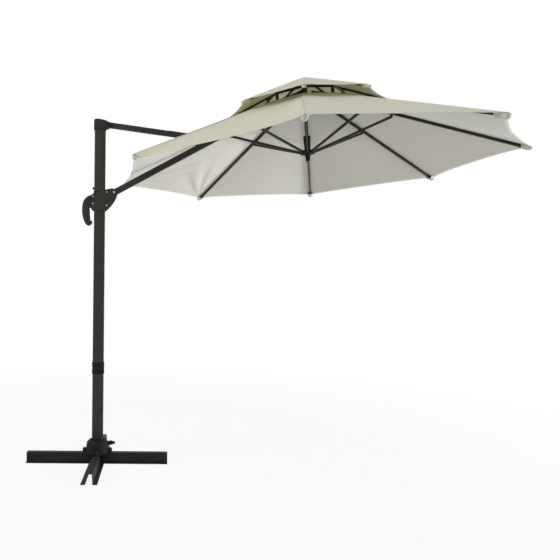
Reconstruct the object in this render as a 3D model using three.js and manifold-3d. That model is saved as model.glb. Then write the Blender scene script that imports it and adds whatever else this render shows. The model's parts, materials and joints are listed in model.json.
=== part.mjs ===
// A cantilever parasol with a round two-tier canopy, a sliding carriage and a cross base.
// Millimetres, +Z up. The origin is on the mast's axis at ground level, and +X points
// from the mast to the canopy, along the arm's plane.
import * as THREE from 'three';
import { mergeVertices } from 'three/addons/utils/BufferGeometryUtils.js';
import Module from 'manifold-3d';

const wasm = await Module();
wasm.setup();

// Clearances that the whole part shares
const seatGap = 0.3;
const runGap = 0.3;
const overrun = 5;
const softGap = 1.8;
const weld = 0.001;

// Counts
const ribCount = 8;
const legCount = 4;
const knobLobeCount = 5;
const mainAcrossCount = 8;
const mainAlongCount = 7;
const topAcrossCount = 6;
const topAlongCount = 4;
const swivelSides = 28;
const hubSides = 24;
const roundSides = 18;
const headSides = 14;
const boltSides = 12;
const rivetSides = 8;
const roundEdges = 6;
const softEdges = 3;

// Base: channels with a hat section, and the legs that butt against the long one
const base = {
  yawDeg: -7.4,
  legReach: 505,
  height: 70,
  sheet: 3,
  topHalf: 22,
  footHalf: 27,
  lipHalf: 54,
  holeRadius: 4,
  holeInset: 100,
  holeHeight: 38,
};

// Swivel foot on the base
const foot = {
  flangeRadius: 84,
  flangeThickness: 12,
  tabRise: 16,
  tabReach: 106,
  tabHalf: 17,
  boltCircle: 92,
  boltRadius: 4,
  headRadius: 7.5,
  headHeight: 5,
  shankLength: 16,
  domeRadius: 80,
  domeTopRadius: 57,
  domeTop: 161,
  shoulder: 142,
  shoulderRound: 4,
  mouthRadius: 51.5,
  mouthDepth: 46,
  boreRadius: 38,
  collarRadius: 50.5,
  collarTop: 144,
  stemRadius: 7,
  bossRadius: 12,
  bossReach: 88,
  knobRadius: 16,
  knobLobeDepth: 4.5,
  knobNeckRadius: 11.7,
  knobTipRadius: 9,
  knobLength: 38,
  knobHeight: 137,
};

// Mast: two lengths of one extrusion, a joining sleeve and the top cap
const mast = {
  width: 80,
  depth: 55,
  corner: 9,
  wall: 3,
  grooveInset: 11,
  grooveWidth: 4,
  grooveDepth: 1.2,
  jointHeight: 675,
  top: 2468,
  spigotHalf: 110,
};
const sleeve = { bottom: 637, top: 714, wall: 3, rim: 1.2, rimHeight: 8 };
const cap = {
  bottom: 2405,
  top: 2475,
  wall: 5,
  shoulder: 10,
  noseHalf: 21.5,
  noseRound: 17,
  noseEndDeg: -60,
  lobeDrop: 30,
};

// The strut from the cap to the arm, and the arm itself
const strut = {
  anchorReach: 70,
  anchorHeight: 2439,
  height: 38,
  width: 28,
  wall: 2.5,
  tubeLength: 500,
  tubeStart: 30,
  pitchDeg: -5.7,
  plugLength: 45,
  cheekThickness: 5,
  cheekOverlap: 70,
  cheekRadius: 24,
  pinRadius: 6,
  headRadius: 9.5,
  headHeight: 4,
};
const arm = {
  pivotReach: 102,
  pivotHeight: 1946,
  pitchDeg: 29.6,
  length: 1535,
  strutPivot: 762,
  height: 44,
  width: 28,
  wall: 2.5,
  lugReach: 34,
  plugLength: 55,
  pinRadius: 6,
  headRadius: 8.4,
  headHeight: 4,
};

// Carriage that runs on the mast, with the handle and its trigger
const carriage = {
  plateThickness: 4,
  sliderWall: 3,
  sliderBottom: 1816,
  sliderTop: 1952,
  plateLeft: -60,
  plateBottom: 1810,
  plateWidth: 186,
  plateHeight: 163,
  boltReach: 50,
  upperBolt: 1945,
  lowerBolt: 1849,
  handleUpperBolt: 1911,
  handleLowerBolt: 1860,
  boltRadius: 4,
  bossRadius: 12,
  handleTop: 1946,
  handleReach: 82,
  handleDrop: 243,
  handleHalf: 17,
  handleBevel: 3.5,
  triggerHalf: 9.5,
  triggerBack: -87,
  triggerTop: 1849,
  triggerWidth: 21,
  triggerSlot: 29.4,
  triggerLength: 105,
  triggerPinInset: 6,
  triggerTravel: 9,
  triggerRoom: 2,
  triggerPinRadius: 3,
  stopRadius: 9,
  stopLength: 12,
  stopGap: 22,
};

// Canopy frame, measured from the hub's crown point along the canopy's own axis
const hub = {
  leanDeg: -3.2,
  pivotReach: 115,
  pivotDrop: 48,
  poleRadius: 12,
  poleTop: 99,
  poleBottom: -508,
  crownRadius: 20,
  crownThickness: 9.3,
  pinCircle: 45,
  pinRadius: 3,
  pinHeight: -62,
  discRadius: 57,
  discHalf: 11,
  slotRadius: 33,
  collarRadius: 21,
  collarHalf: 18,
  bracketHeight: 40,
  bracketHalf: 8.5,
  bracketCheek: 5,
};
const runner = {
  pinHeight: -462,
  discRadius: 58,
  discHalf: 13,
  neckTop: -338,
  neckTopRadius: 28,
  neckRadius: 21,
  neckFillet: 2,
  gripBottom: -528,
  gripRadius: 17,
  footRoom: 5,
};
const rib = {
  width: 14,
  height: 20,
  startReach: 75,
  tipReach: 1488,
  riseRatio: 0.4,
  lineHeight: 8,
  jointReach: 608,
  jointHeight: -262,
  lugRadius: 9,
  wall: 1.5,
  solidEnd: 24,
  tipRadius: 6,
  tipLength: 26,
};
const stretcher = {
  width: 11,
  height: 18,
  forkReach: 24,
  forkBlock: 16,
  strap: 3,
  rivetHead: 5,
  rivetHeight: 2,
};
const ventRib = {
  width: 10,
  height: 12,
  startReach: 24,
  tipReach: 574,
  lineHeight: 106,
  riseRatio: 0.415,
  postReach: 278,
  postWidth: 24,
};

// Cloth: both tiers, their hollow hems and the slot that the strut passes through
const cloth = {
  thickness: 2,
  rimReach: 1500,
  ventReach: 294,
  hemHollow: 52,
  sag: 14,
  slackSag: 34,
  sagSpanDeg: 135,
  topReach: 590,
  topPeakReach: 26,
  topHollow: 24,
  topSag: 5,
  slotFrom: 735,
  slotTo: 925,
  slotHalf: 26,
  strapWidth: 18,
  strapThickness: 2,
  strapHeight: -46,
};

const finish = {
  frame: { color: 0x3b3a33, roughness: 0.52, metalness: 0.35 },
  plastic: { color: 0x30302c, roughness: 0.62, metalness: 0 },
  rubber: { color: 0x1e1e1c, roughness: 0.85, metalness: 0 },
  bright: { color: 0xc4c6c8, roughness: 0.3, metalness: 1 },
  cloth: { color: 0xd0cebc, roughness: 0.9, metalness: 0 },
  topCloth: { color: 0xd2d0b4, roughness: 0.9, metalness: 0 },
  webbing: { color: 0x26261f, roughness: 0.9, metalness: 0 },
};
const radians = THREE.MathUtils.degToRad;
const half = (length) => length / 2;
const wholeTurn = Math.PI * 2;
const quarterTurn = Math.PI / 2;
const ribTurn = wholeTurn / ribCount;
const firstRib = half(ribTurn);

// Places that several pieces share
const mastHalfWidth = half(mast.width);
const mastHalfDepth = half(mast.depth);
const armHalf = half(arm.width);
const cheekInner = armHalf + seatGap + runGap;
const cheekOuter = cheekInner + strut.cheekThickness;
const plateInner = mastHalfDepth + carriage.sliderWall + seatGap * 2;
const plateOuter = plateInner + carriage.plateThickness;
const headSeat = plateOuter + seatGap;
const polar = (reach, angle) => new THREE.Vector2(reach * Math.cos(angle), reach * Math.sin(angle));
const armAngle = radians(arm.pitchDeg);
const armFoot = new THREE.Vector2(arm.pivotReach, arm.pivotHeight);
const armAt = (reach) => armFoot.clone().add(polar(reach, armAngle));
const strutFoot = new THREE.Vector2(strut.anchorReach, strut.anchorHeight);
const strutPin = armAt(arm.strutPivot);
const hubPin = armAt(arm.length);
const lean = radians(hub.leanDeg);

// The crown point lies where the bracket's pin puts it on the leaning axis
const crownPoint = new THREE.Vector3(
  hubPin.x + hub.pivotReach * Math.cos(lean) + hub.pivotDrop * Math.sin(lean),
  0,
  hubPin.y - hub.pivotReach * Math.sin(lean) + hub.pivotDrop * Math.cos(lean),
);
const ribLine = (reach) => rib.lineHeight - reach * rib.riseRatio;
const ventLine = (reach) => ventRib.lineHeight - reach * ventRib.riseRatio;

// Closed geometry to a solid and back
function solid(geometry) {
  const plain = geometry.index ? geometry.toNonIndexed() : geometry.clone();
  plain.deleteAttribute('normal');
  plain.deleteAttribute('uv');
  const merged = mergeVertices(plain, weld);
  const index = merged.index.array;
  const kept = [];
  for (let i = 0; i < index.length; i += 3) {
    const [a, b, c] = [index[i], index[i + 1], index[i + 2]];
    if (a !== b && b !== c && a !== c) kept.push(a, b, c);
  }
  return new wasm.Manifold(new wasm.Mesh({
    numProp: 3,
    vertProperties: new Float32Array(merged.attributes.position.array),
    triVerts: new Uint32Array(kept),
  }));
}

function shell(body) {
  const mesh = body.getMesh();
  const geometry = new THREE.BufferGeometry();
  const points = new Float32Array(mesh.numVert * 3);
  for (let i = 0; i < mesh.numVert; i += 1) {
    for (let k = 0; k < 3; k += 1) points[i * 3 + k] = mesh.vertProperties[i * mesh.numProp + k];
  }
  geometry.setAttribute('position', new THREE.BufferAttribute(points, 3));
  geometry.setIndex(new THREE.BufferAttribute(new Uint32Array(mesh.triVerts), 1));
  geometry.computeVertexNormals();
  return geometry;
}

const join = (...parts) => parts.map(solid).reduce((sum, part) => sum.add(part));
const cut = (body, ...tools) => tools.reduce((sum, tool) => sum.subtract(solid(tool)), body);

function piece(name, body, look) {
  const geometry = body.isBufferGeometry ? body : shell(body);
  const mesh = new THREE.Mesh(geometry, new THREE.MeshStandardMaterial(look));
  mesh.name = name;
  return mesh;
}

// Outlines
const outline = (points) => new THREE.Shape(points.map(([x, y]) => new THREE.Vector2(x, y)));

function roundedBox(width, height, corner) {
  const [x, y] = [half(width), half(height)];
  const shape = new THREE.Shape();
  shape.moveTo(corner - x, -y);
  shape.lineTo(x - corner, -y);
  shape.absarc(x - corner, corner - y, corner, -quarterTurn, 0);
  shape.absarc(x - corner, y - corner, corner, 0, quarterTurn);
  shape.absarc(corner - x, y - corner, corner, quarterTurn, Math.PI);
  shape.absarc(corner - x, corner - y, corner, Math.PI, Math.PI + quarterTurn);
  return shape;
}

// A bar from one round end to another, seen from the side
function link(from, to, fromRadius, toRadius) {
  const along = to.clone().sub(from).angle();
  const shape = new THREE.Shape();
  shape.absarc(from.x, from.y, fromRadius, along + quarterTurn, along + Math.PI + quarterTurn);
  shape.absarc(to.x, to.y, toRadius, along - quarterTurn, along + quarterTurn);
  return shape;
}

// A straight bar with square ends along a line, seen from the side
function bar(from, to, height) {
  const side = to.clone().sub(from).normalize().rotateAround(new THREE.Vector2(), quarterTurn);
  side.multiplyScalar(half(height));
  return new THREE.Shape([
    from.clone().sub(side),
    to.clone().sub(side),
    to.clone().add(side),
    from.clone().add(side),
  ]);
}

function hole(shape, centre, radius) {
  const ring = new THREE.Path();
  ring.absarc(centre.x, centre.y, radius, 0, wholeTurn, true);
  shape.holes.push(ring);
  return shape;
}

// Solids from outlines: standing on a floor, or drawn in the XZ plane
function prism(shape, bottom, top, segments = softEdges) {
  const depth = top - bottom;
  const flat = new THREE.ExtrudeGeometry(shape, { depth, bevelEnabled: false, curveSegments: segments });
  return flat.translate(0, 0, bottom);
}

function side(shape, near, far, segments = softEdges) {
  return prism(shape, -far, -near, segments).rotateX(quarterTurn);
}

function bevelled(shape, near, far, bevel, segments) {
  const flat = new THREE.ExtrudeGeometry(shape, {
    depth: far - near - bevel * 2,
    bevelEnabled: true,
    bevelSize: bevel,
    bevelThickness: bevel,
    bevelOffset: -bevel,
    bevelSegments: 2,
    curveSegments: segments,
  });
  return flat.translate(0, 0, -far + bevel).rotateX(quarterTurn);
}

const both = (make) => [make(1), make(-1)];

function pinAcross(centre, radius, near, far, sides = boltSides) {
  const body = new THREE.CylinderGeometry(radius, radius, far - near, sides);
  return body.translate(centre.x, half(near + far), 0).translate(0, 0, centre.y);
}

function turned(points, sides = roundSides) {
  return new THREE.LatheGeometry(points.map(([x, y]) => new THREE.Vector2(x, y)), sides)
    .rotateX(quarterTurn);
}

const boxAt = (low, high) => new THREE.BoxGeometry(...high.map((end, i) => end - low[i]))
  .translate(...high.map((end, i) => half(end + low[i])));

// A bolt through the parasol's plane: a shank with a low round head on either side
function crossBolt(centre, radius, headRadius, headSeatAt, headHeight) {
  return join(
    pinAcross(centre, radius, -headSeatAt - half(headHeight), headSeatAt + half(headHeight)),
    pinAcross(centre, headRadius, headSeatAt, headSeatAt + headHeight, headSides),
    pinAcross(centre, headRadius, -headSeatAt - headHeight, -headSeatAt, headSides),
  );
}

// The profile of a low head with a rolled edge, as shares of its radius and height
const headShares = [[1, 0], [1, 0.7], [0.8, 1], [0, 1]];
const headProfile = (radius, foot, height) => headShares.map(
  ([x, y]) => [x * radius, foot + y * height],
);

// Base and swivel foot

// The hat section: a flat top, sloping sides and a lip on either side of the open foot
function hatPoints() {
  const slope = (base.footHalf - base.topHalf) / base.height;
  const lipSide = base.footHalf - slope * base.sheet;
  const inner = base.sheet;
  return [
    [-base.lipHalf, 0],
    [-base.footHalf + inner, 0],
    [-base.topHalf + inner, base.height - base.sheet],
    [base.topHalf - inner, base.height - base.sheet],
    [base.footHalf - inner, 0],
    [base.lipHalf, 0],
    [base.lipHalf, base.sheet],
    [lipSide, base.sheet],
    [base.topHalf, base.height],
    [-base.topHalf, base.height],
    [-lipSide, base.sheet],
    [-base.lipHalf, base.sheet],
  ];
}

// The same section grown by the seat gap and filled, to cut what butts against it
function hatBlock() {
  const grow = seatGap;
  return [
    [-base.lipHalf - grow, -overrun],
    [base.lipHalf + grow, -overrun],
    [base.lipHalf + grow, base.sheet + grow],
    [base.footHalf + grow, base.sheet + grow],
    [base.topHalf + grow, base.height + overrun],
    [-base.topHalf - grow, base.height + overrun],
    [-base.footHalf - grow, base.sheet + grow],
    [-base.lipHalf - grow, base.sheet + grow],
  ];
}

// Channels run along X here; the cross pieces are turned a quarter afterwards
function channel(from, to) {
  return prism(outline(hatPoints()), from, to).rotateX(quarterTurn).rotateZ(quarterTurn);
}

function channelHoles(direction) {
  const reach = direction * (base.legReach - base.holeInset);
  const sideHole = new THREE.CylinderGeometry(
    base.holeRadius, base.holeRadius, base.lipHalf * 2, boltSides,
  ).translate(reach, 0, 0).translate(0, 0, base.holeHeight);
  const bolt = new THREE.CylinderGeometry(
    foot.boltRadius + runGap, foot.boltRadius + runGap, base.height, boltSides,
  ).rotateX(quarterTurn).translate(direction * foot.boltCircle, 0, base.height);
  return [sideHole, bolt];
}

function baseLong() {
  const body = solid(channel(-base.legReach, base.legReach));
  return cut(body, ...channelHoles(1), ...channelHoles(-1));
}

function baseLeg(turn) {
  const along = prism(outline(hatBlock()), -base.lipHalf * 2, base.lipHalf * 2);
  const blocked = along.rotateX(quarterTurn).rotateZ(Math.PI);
  const body = solid(channel(base.topHalf, base.legReach));
  const trimmed = cut(body, blocked, ...channelHoles(1));
  return shell(trimmed).rotateZ(turn);
}

// The flange is round, with a tab over each leg; a boss on the tab carries the bolt's head
function flangeOutline() {
  const shape = new THREE.Shape();
  const tabTurn = Math.asin(foot.tabHalf / foot.flangeRadius);
  for (let i = 0; i < legCount; i += 1) {
    const turn = i * quarterTurn;
    const tab = polar(foot.tabReach - foot.tabHalf, turn);
    shape.absarc(tab.x, tab.y, foot.tabHalf, turn - quarterTurn, turn + quarterTurn);
    shape.absarc(0, 0, foot.flangeRadius, turn + tabTurn, turn + quarterTurn - tabTurn);
  }
  return shape;
}

function footHousing() {
  const floor = base.height + seatGap;
  const flangeTop = floor + foot.flangeThickness;
  const flange = prism(flangeOutline(), floor, flangeTop);
  const mouthFloor = foot.domeTop - foot.mouthDepth;
  const dome = turned([
    [foot.boreRadius, floor],
    [foot.domeRadius, floor],
    [foot.domeRadius, half(foot.shoulder + flangeTop)],
    [foot.domeRadius - foot.shoulderRound, foot.shoulder],
    [half(foot.domeRadius + foot.domeTopRadius), half(foot.shoulder + foot.domeTop)],
    [foot.domeTopRadius, foot.domeTop],
    [foot.mouthRadius, foot.domeTop],
    [foot.mouthRadius, mouthFloor],
    [foot.boreRadius, mouthFloor],
    [foot.boreRadius, floor],
  ], swivelSides);
  const boss = new THREE.CylinderGeometry(
    foot.bossRadius, foot.bossRadius, foot.bossReach - foot.domeTopRadius, roundSides,
  ).rotateZ(quarterTurn).translate(half(foot.bossReach + foot.domeTopRadius), 0, foot.knobHeight);
  const stem = new THREE.CylinderGeometry(
    foot.stemRadius + runGap, foot.stemRadius + runGap, foot.bossReach, boltSides,
  ).rotateZ(quarterTurn).translate(foot.bossReach, 0, foot.knobHeight);
  const bolts = Array.from({ length: legCount }, (_, i) => footBolt(i * quarterTurn));
  const tabBosses = Array.from({ length: legCount }, (_, i) => tabBoss(i * quarterTurn));
  const bore = turned([
    [0, floor - overrun],
    [foot.boreRadius, floor - overrun],
    [foot.boreRadius, mouthFloor + overrun],
    [0, mouthFloor + overrun],
  ], swivelSides);
  return cut(join(flange, dome, boss, ...tabBosses, ...bolts), bore, stem);
}

function tabBoss(turn) {
  const floor = base.height + seatGap;
  const centre = polar(foot.tabReach - foot.tabHalf, turn);
  const disc = new THREE.Shape().absarc(centre.x, centre.y, foot.tabHalf, 0, wholeTurn);
  return prism(disc, floor, floor + foot.flangeThickness + foot.tabRise, roundEdges);
}

// The bolts are one piece with the housing: a shank through the channel and a low head
function footBolt(turn) {
  const seat = base.height + foot.flangeThickness + foot.tabRise;
  return turned([
    [0, base.height - foot.shankLength],
    [foot.boltRadius, base.height - foot.shankLength],
    [foot.boltRadius, seat],
    ...headProfile(foot.headRadius, seat, foot.headHeight),
  ], boltSides).translate(foot.boltCircle, 0, 0).rotateZ(turn);
}

function swivelPost() {
  const seat = foot.domeTop - foot.mouthDepth + seatGap;
  const neck = foot.boreRadius - runGap;
  const post = turned([
    [0, base.height + base.sheet],
    [neck, base.height + base.sheet],
    [neck, seat],
    [foot.collarRadius, seat],
    [foot.collarRadius, foot.collarTop],
    [0, foot.collarTop],
  ], swivelSides);
  const plug = mast.wall * 2 + seatGap * 2;
  const spigot = prism(
    roundedBox(mast.width - plug, mast.depth - plug - mast.grooveDepth * 2, half(mast.corner)),
    foot.collarTop - overrun,
    foot.collarTop + mast.spigotHalf,
  );
  return join(post, spigot);
}

function lockKnob() {
  const lobes = new THREE.Shape();
  const steps = knobLobeCount * roundEdges;
  for (let i = 0; i < steps; i += 1) {
    const angle = i / steps * wholeTurn;
    const dip = half(foot.knobLobeDepth) * (1 - Math.cos(angle * knobLobeCount));
    const reach = foot.knobRadius - dip;
    const point = polar(reach, angle);
    if (i === 0) lobes.moveTo(point.x, point.y);
    else lobes.lineTo(point.x, point.y);
  }
  const start = foot.bossReach + seatGap;
  const headLength = half(foot.knobLength);
  const head = prism(lobes, start, start + headLength);
  const tip = turned([
    [0, start + headLength - seatGap],
    [foot.knobNeckRadius, start + headLength - seatGap],
    [foot.knobTipRadius, start + foot.knobLength],
    [0, start + foot.knobLength],
  ], roundSides);
  const stem = turned([
    [0, foot.collarRadius + seatGap],
    [foot.stemRadius, foot.collarRadius + seatGap],
    [foot.stemRadius, start + seatGap],
    [0, start + seatGap],
  ], boltSides);
  return shell(join(head, tip, stem)).rotateY(quarterTurn).translate(0, 0, foot.knobHeight);
}

// Mast

// The extrusion's outside, with a shallow groove near each edge of its broad faces
function mastOutline() {
  const shape = new THREE.Shape();
  const [x, y] = [mastHalfWidth, mastHalfDepth];
  const groove = [x - mast.grooveInset, x - mast.grooveInset - mast.grooveWidth];
  const dent = y - mast.grooveDepth;
  const edge = (sign) => {
    for (const [near, far] of [[groove[0], groove[1]], [-groove[1], -groove[0]]]) {
      shape.lineTo(sign * near, sign * y);
      shape.lineTo(sign * near, sign * dent);
      shape.lineTo(sign * far, sign * dent);
      shape.lineTo(sign * far, sign * y);
    }
  };
  const corner = mast.corner;
  shape.moveTo(x, corner - y);
  shape.absarc(x - corner, y - corner, corner, 0, quarterTurn);
  edge(1);
  shape.absarc(corner - x, y - corner, corner, quarterTurn, Math.PI);
  shape.absarc(corner - x, corner - y, corner, Math.PI, Math.PI + quarterTurn);
  edge(-1);
  shape.absarc(x - corner, corner - y, corner, Math.PI + quarterTurn, wholeTurn);
  return shape;
}

function mastTube(bottom, top) {
  const shape = mastOutline();
  const bore = mast.wall * 2;
  const inner = roundedBox(
    mast.width - bore, mast.depth - bore - mast.grooveDepth * 2, half(mast.corner),
  );
  shape.holes.push(new THREE.Path(inner.getPoints(softEdges)));
  return prism(shape, bottom, top);
}

function ringAround(growth, wall, bottom, top) {
  const shape = roundedBox(
    mast.width + (growth + wall) * 2, mast.depth + (growth + wall) * 2, mast.corner + wall,
  );
  const inner = roundedBox(mast.width + growth * 2, mast.depth + growth * 2, mast.corner);
  shape.holes.push(new THREE.Path(inner.getPoints(softEdges)));
  return prism(shape, bottom, top);
}

function jointSleeve() {
  const rimWall = sleeve.wall + sleeve.rim;
  return join(
    ringAround(seatGap, sleeve.wall, sleeve.bottom, sleeve.top),
    ringAround(seatGap, rimWall, sleeve.top - sleeve.rimHeight, sleeve.top),
    ringAround(seatGap, rimWall, sleeve.bottom, sleeve.bottom + sleeve.rimHeight),
  );
}

// The cap's cup and the nose whose cheeks hold the strut
function topCap() {
  const reach = mastHalfWidth + cap.wall + seatGap;
  const sideWidth = mastHalfDepth + cap.wall;
  const noseTop = strut.anchorHeight + cap.noseRound;
  const cup = side(outline([
    [-reach, cap.bottom],
    [-reach, cap.top - cap.shoulder],
    [-reach + cap.shoulder, cap.top],
    [0, cap.top],
    [reach, cap.top - cap.shoulder],
    [reach, cap.bottom],
  ]), -sideWidth, sideWidth);
  const nose = new THREE.Shape();
  nose.moveTo(0, cap.top);
  nose.lineTo(reach, cap.top - cap.shoulder);
  nose.lineTo(strutFoot.x, noseTop);
  nose.absarc(strutFoot.x, strutFoot.y, cap.noseRound, quarterTurn, radians(cap.noseEndDeg), true);
  nose.lineTo(reach, strutFoot.y - cap.lobeDrop);
  nose.lineTo(0, strutFoot.y - cap.lobeDrop);
  const room = roundedBox(mast.width + seatGap * 2, mast.depth + seatGap * 2, mast.corner);
  const cavity = prism(room, cap.bottom - overrun, mast.top + seatGap);
  const swing = half(strut.height) + runGap * 2;
  const slotHalf = half(strut.width) + runGap;
  const slot = boxAt(
    [strutFoot.x - swing, -slotHalf, cap.bottom - cap.lobeDrop],
    [strutFoot.x + swing * 2, slotHalf, cap.top + overrun],
  );
  const bolt = pinAcross(strutFoot, strut.pinRadius + runGap, -sideWidth, sideWidth);
  return cut(join(cup, side(nose, -cap.noseHalf, cap.noseHalf, roundEdges)), cavity, slot, bolt);
}

// Strut and arm

function boxTube(from, to, height, width, wall) {
  const outer = side(bar(from, to, height), -half(width), half(width));
  const past = to.clone().sub(from).setLength(overrun);
  const inner = side(
    bar(from.clone().sub(past), to.clone().add(past), height - wall * 2),
    -half(width) + wall,
    half(width) - wall,
  );
  return cut(solid(outer), inner);
}

// A solid end that plugs into a tube and carries a pin
function endLug(pin, towards, height, width, wall, start, plug, bore) {
  const direction = towards.clone().sub(pin).normalize();
  const neck = pin.clone().addScaledVector(direction, start - seatGap);
  const inner = pin.clone().addScaledVector(direction, start + plug);
  const lug = side(
    hole(link(pin, neck, half(height), half(height)), pin, bore), -half(width), half(width), roundEdges,
  );
  const past = inner.clone().addScaledVector(direction, height);
  const rounded = cut(solid(lug), side(bar(neck, past, height + overrun), -width, width));
  const plugHalf = half(width) - wall - seatGap;
  const root = neck.clone().addScaledVector(direction, -wall);
  const plugged = side(bar(root, inner, height - wall * 2 - seatGap * 2), -plugHalf, plugHalf);
  return rounded.add(solid(plugged));
}

const strutDirection = polar(1, radians(strut.pitchDeg));
const strutAt = (reach) => strutFoot.clone().addScaledVector(strutDirection, reach);

function strutTube() {
  return boxTube(
    strutAt(strut.tubeStart), strutAt(strut.tubeLength), strut.height, strut.width, strut.wall,
  );
}

// Each cheek starts on the tube's side and narrows to a round end with a stud at the arm
function strutCheek(sign) {
  const start = strutAt(strut.tubeLength - strut.cheekOverlap);
  const edge = polar(half(strut.height), radians(strut.pitchDeg) + quarterTurn);
  const shape = new THREE.Shape();
  const away = strutPin.clone().sub(start).angle();
  shape.moveTo(start.x - edge.x, start.y - edge.y);
  shape.absarc(strutPin.x, strutPin.y, strut.cheekRadius, away - quarterTurn, away + quarterTurn);
  const upper = strutAt(strut.tubeLength + strut.cheekOverlap).add(edge);
  shape.lineTo(upper.x, upper.y);
  shape.lineTo(start.x + edge.x, start.y + edge.y);
  const span = (near, far) => (sign > 0 ? [near, far] : [-far, -near]);
  const headTop = cheekOuter + strut.headHeight;
  return join(
    side(shape, ...span(cheekInner, cheekOuter), roundEdges),
    pinAcross(strutPin, strut.headRadius, ...span(cheekOuter - seatGap, headTop), headSides),
  );
}

function armTube() {
  return boxTube(
    armAt(arm.lugReach), armAt(arm.length - arm.lugReach), arm.height, arm.width, arm.wall,
  );
}

const armLug = (pin, towards) => endLug(
  pin, towards, arm.height, arm.width, arm.wall, arm.lugReach, arm.plugLength,
  arm.pinRadius + runGap,
);

// Carriage

// The plate's rim as shares of its width and height, from its lower left corner
const plateLowShares = [[0, 0.104], [0.113, 0], [0.538, 0]];
const plateFrontShares = [[0.677, 0.129], [0.801, 0.294], [0.909, 0.472], [1, 0.706], [0.989, 0.847]];
const plateTopShares = [[0.903, 0.963], [0.806, 1], [0.634, 0.969], [0.522, 0.926]];
const plateBackShares = [[0.118, 0.785], [0.086, 0.773], [0, 0.706]];

function plateOutline() {
  const spot = ([x, y]) => new THREE.Vector2(
    carriage.plateLeft + x * carriage.plateWidth, carriage.plateBottom + y * carriage.plateHeight,
  );
  const shape = new THREE.Shape(plateLowShares.map(spot));
  shape.splineThru(plateFrontShares.map(spot));
  shape.splineThru(plateTopShares.map(spot));
  for (const { x, y } of plateBackShares.map(spot)) shape.lineTo(x, y);
  return shape;
}

const boltSpots = [
  new THREE.Vector2(carriage.boltReach, carriage.upperBolt),
  new THREE.Vector2(carriage.boltReach, carriage.lowerBolt),
  new THREE.Vector2(-carriage.boltReach, carriage.handleUpperBolt),
  new THREE.Vector2(-carriage.boltReach, carriage.handleLowerBolt),
];

// The first bolts hold only the plates, the others the handle too
const plateOnlyBolts = 2;

// Each plate carries a boss inside, which keeps the arm in the middle of the pivot bolt
function carriagePlate(sign) {
  const shape = plateOutline();
  for (const spot of boltSpots) hole(shape, spot, carriage.boltRadius + runGap);
  const span = (near, far) => (sign > 0 ? [near, far] : [-far, -near]);
  const boss = pinAcross(
    armFoot, carriage.bossRadius, ...span(armHalf + runGap, plateInner + seatGap), roundSides,
  );
  const bore = pinAcross(armFoot, arm.pinRadius + runGap, -plateOuter, plateOuter);
  return cut(join(side(shape, ...span(plateInner, plateOuter), roundEdges), boss), bore);
}

const slider = () => ringAround(
  seatGap, carriage.sliderWall, carriage.sliderBottom, carriage.sliderTop,
);

// The hooked grip as shares of its reach from the slider and of its drop from the top
const gripOuterShares = [
  [0.195, 0.086], [0.5, 0.123], [0.768, 0.206], [0.915, 0.296], [0.988, 0.416], [1, 0.597],
  [0.915, 0.765], [0.756, 0.905], [0.61, 0.971], [0.439, 1], [0.268, 0.984], [0.122, 0.934],
  [0.073, 0.877],
];
const gripInnerShares = [
  [0.207, 0.86], [0.268, 0.84], [0.341, 0.477], [0.268, 0.457], [0.105, 0.49], [0, 0.527],
];
const gripStartShare = 0.049;

function handleOutline() {
  const left = -mastHalfWidth - carriage.sliderWall - seatGap * 2;
  const spot = ([x, y]) => new THREE.Vector2(
    left - x * carriage.handleReach, carriage.handleTop - y * carriage.handleDrop,
  );
  const shape = new THREE.Shape([spot([0, gripStartShare])]);
  shape.currentPoint.copy(spot([0, gripStartShare]));
  shape.splineThru(gripOuterShares.map(spot));
  for (const { x, y } of gripInnerShares.map(spot)) shape.lineTo(x, y);
  return shape;
}

const triggerPivot = new THREE.Vector2(
  carriage.triggerBack + carriage.triggerPinInset, carriage.triggerTop - carriage.triggerPinInset,
);

// The trigger's finger side, in shares of its width and length, has three shallow waves
const triggerWaveShares = [
  [0.714, 0.886], [0.952, 0.752], [0.667, 0.619], [0.905, 0.476], [0.667, 0.343], [0.619, 0.2],
];
const triggerNeckShare = 0.524;

function triggerOutline() {
  const spot = ([x, y]) => new THREE.Vector2(
    carriage.triggerBack + x * carriage.triggerWidth,
    carriage.triggerTop - y * carriage.triggerLength,
  );
  const shape = new THREE.Shape([[0, 0], [0, 1], [1, 1]].map(spot));
  shape.splineThru(triggerWaveShares.map(spot));
  const neck = spot([triggerNeckShare, 0]);
  shape.lineTo(neck.x, neck.y);
  return shape;
}

// The trigger is moulded with its own hinge pin
function trigger() {
  return join(
    side(triggerOutline(), -carriage.triggerHalf, carriage.triggerHalf, softEdges),
    pinAcross(triggerPivot, carriage.triggerPinRadius, -carriage.handleHalf, carriage.handleHalf),
  );
}

function handle() {
  const body = bevelled(
    handleOutline(), -carriage.handleHalf, carriage.handleHalf, carriage.handleBevel, 2,
  );
  const slotHalf = carriage.triggerHalf + runGap;
  const slot = boxAt(
    [
      carriage.triggerBack - carriage.triggerTravel,
      -slotHalf,
      carriage.triggerTop - carriage.triggerLength - carriage.triggerRoom,
    ],
    [carriage.triggerBack + carriage.triggerSlot, slotHalf, carriage.triggerTop + seatGap * 2],
  );
  const bolts = boltSpots.slice(plateOnlyBolts).map((spot) => pinAcross(
    spot, carriage.boltRadius + runGap, -plateOuter, plateOuter,
  ));
  const pin = pinAcross(
    triggerPivot, carriage.triggerPinRadius + runGap, -carriage.handleReach, carriage.handleReach,
  );
  return cut(solid(body), slot, pin, ...bolts);
}

function stopBuffer() {
  const start = -mastHalfWidth - seatGap;
  const profile = [[0, 0], ...headProfile(carriage.stopRadius, 0, carriage.stopLength)];
  return turned(profile).rotateY(-quarterTurn)
    .translate(start, 0, carriage.sliderTop + carriage.stopGap);
}

// Canopy frame

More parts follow.
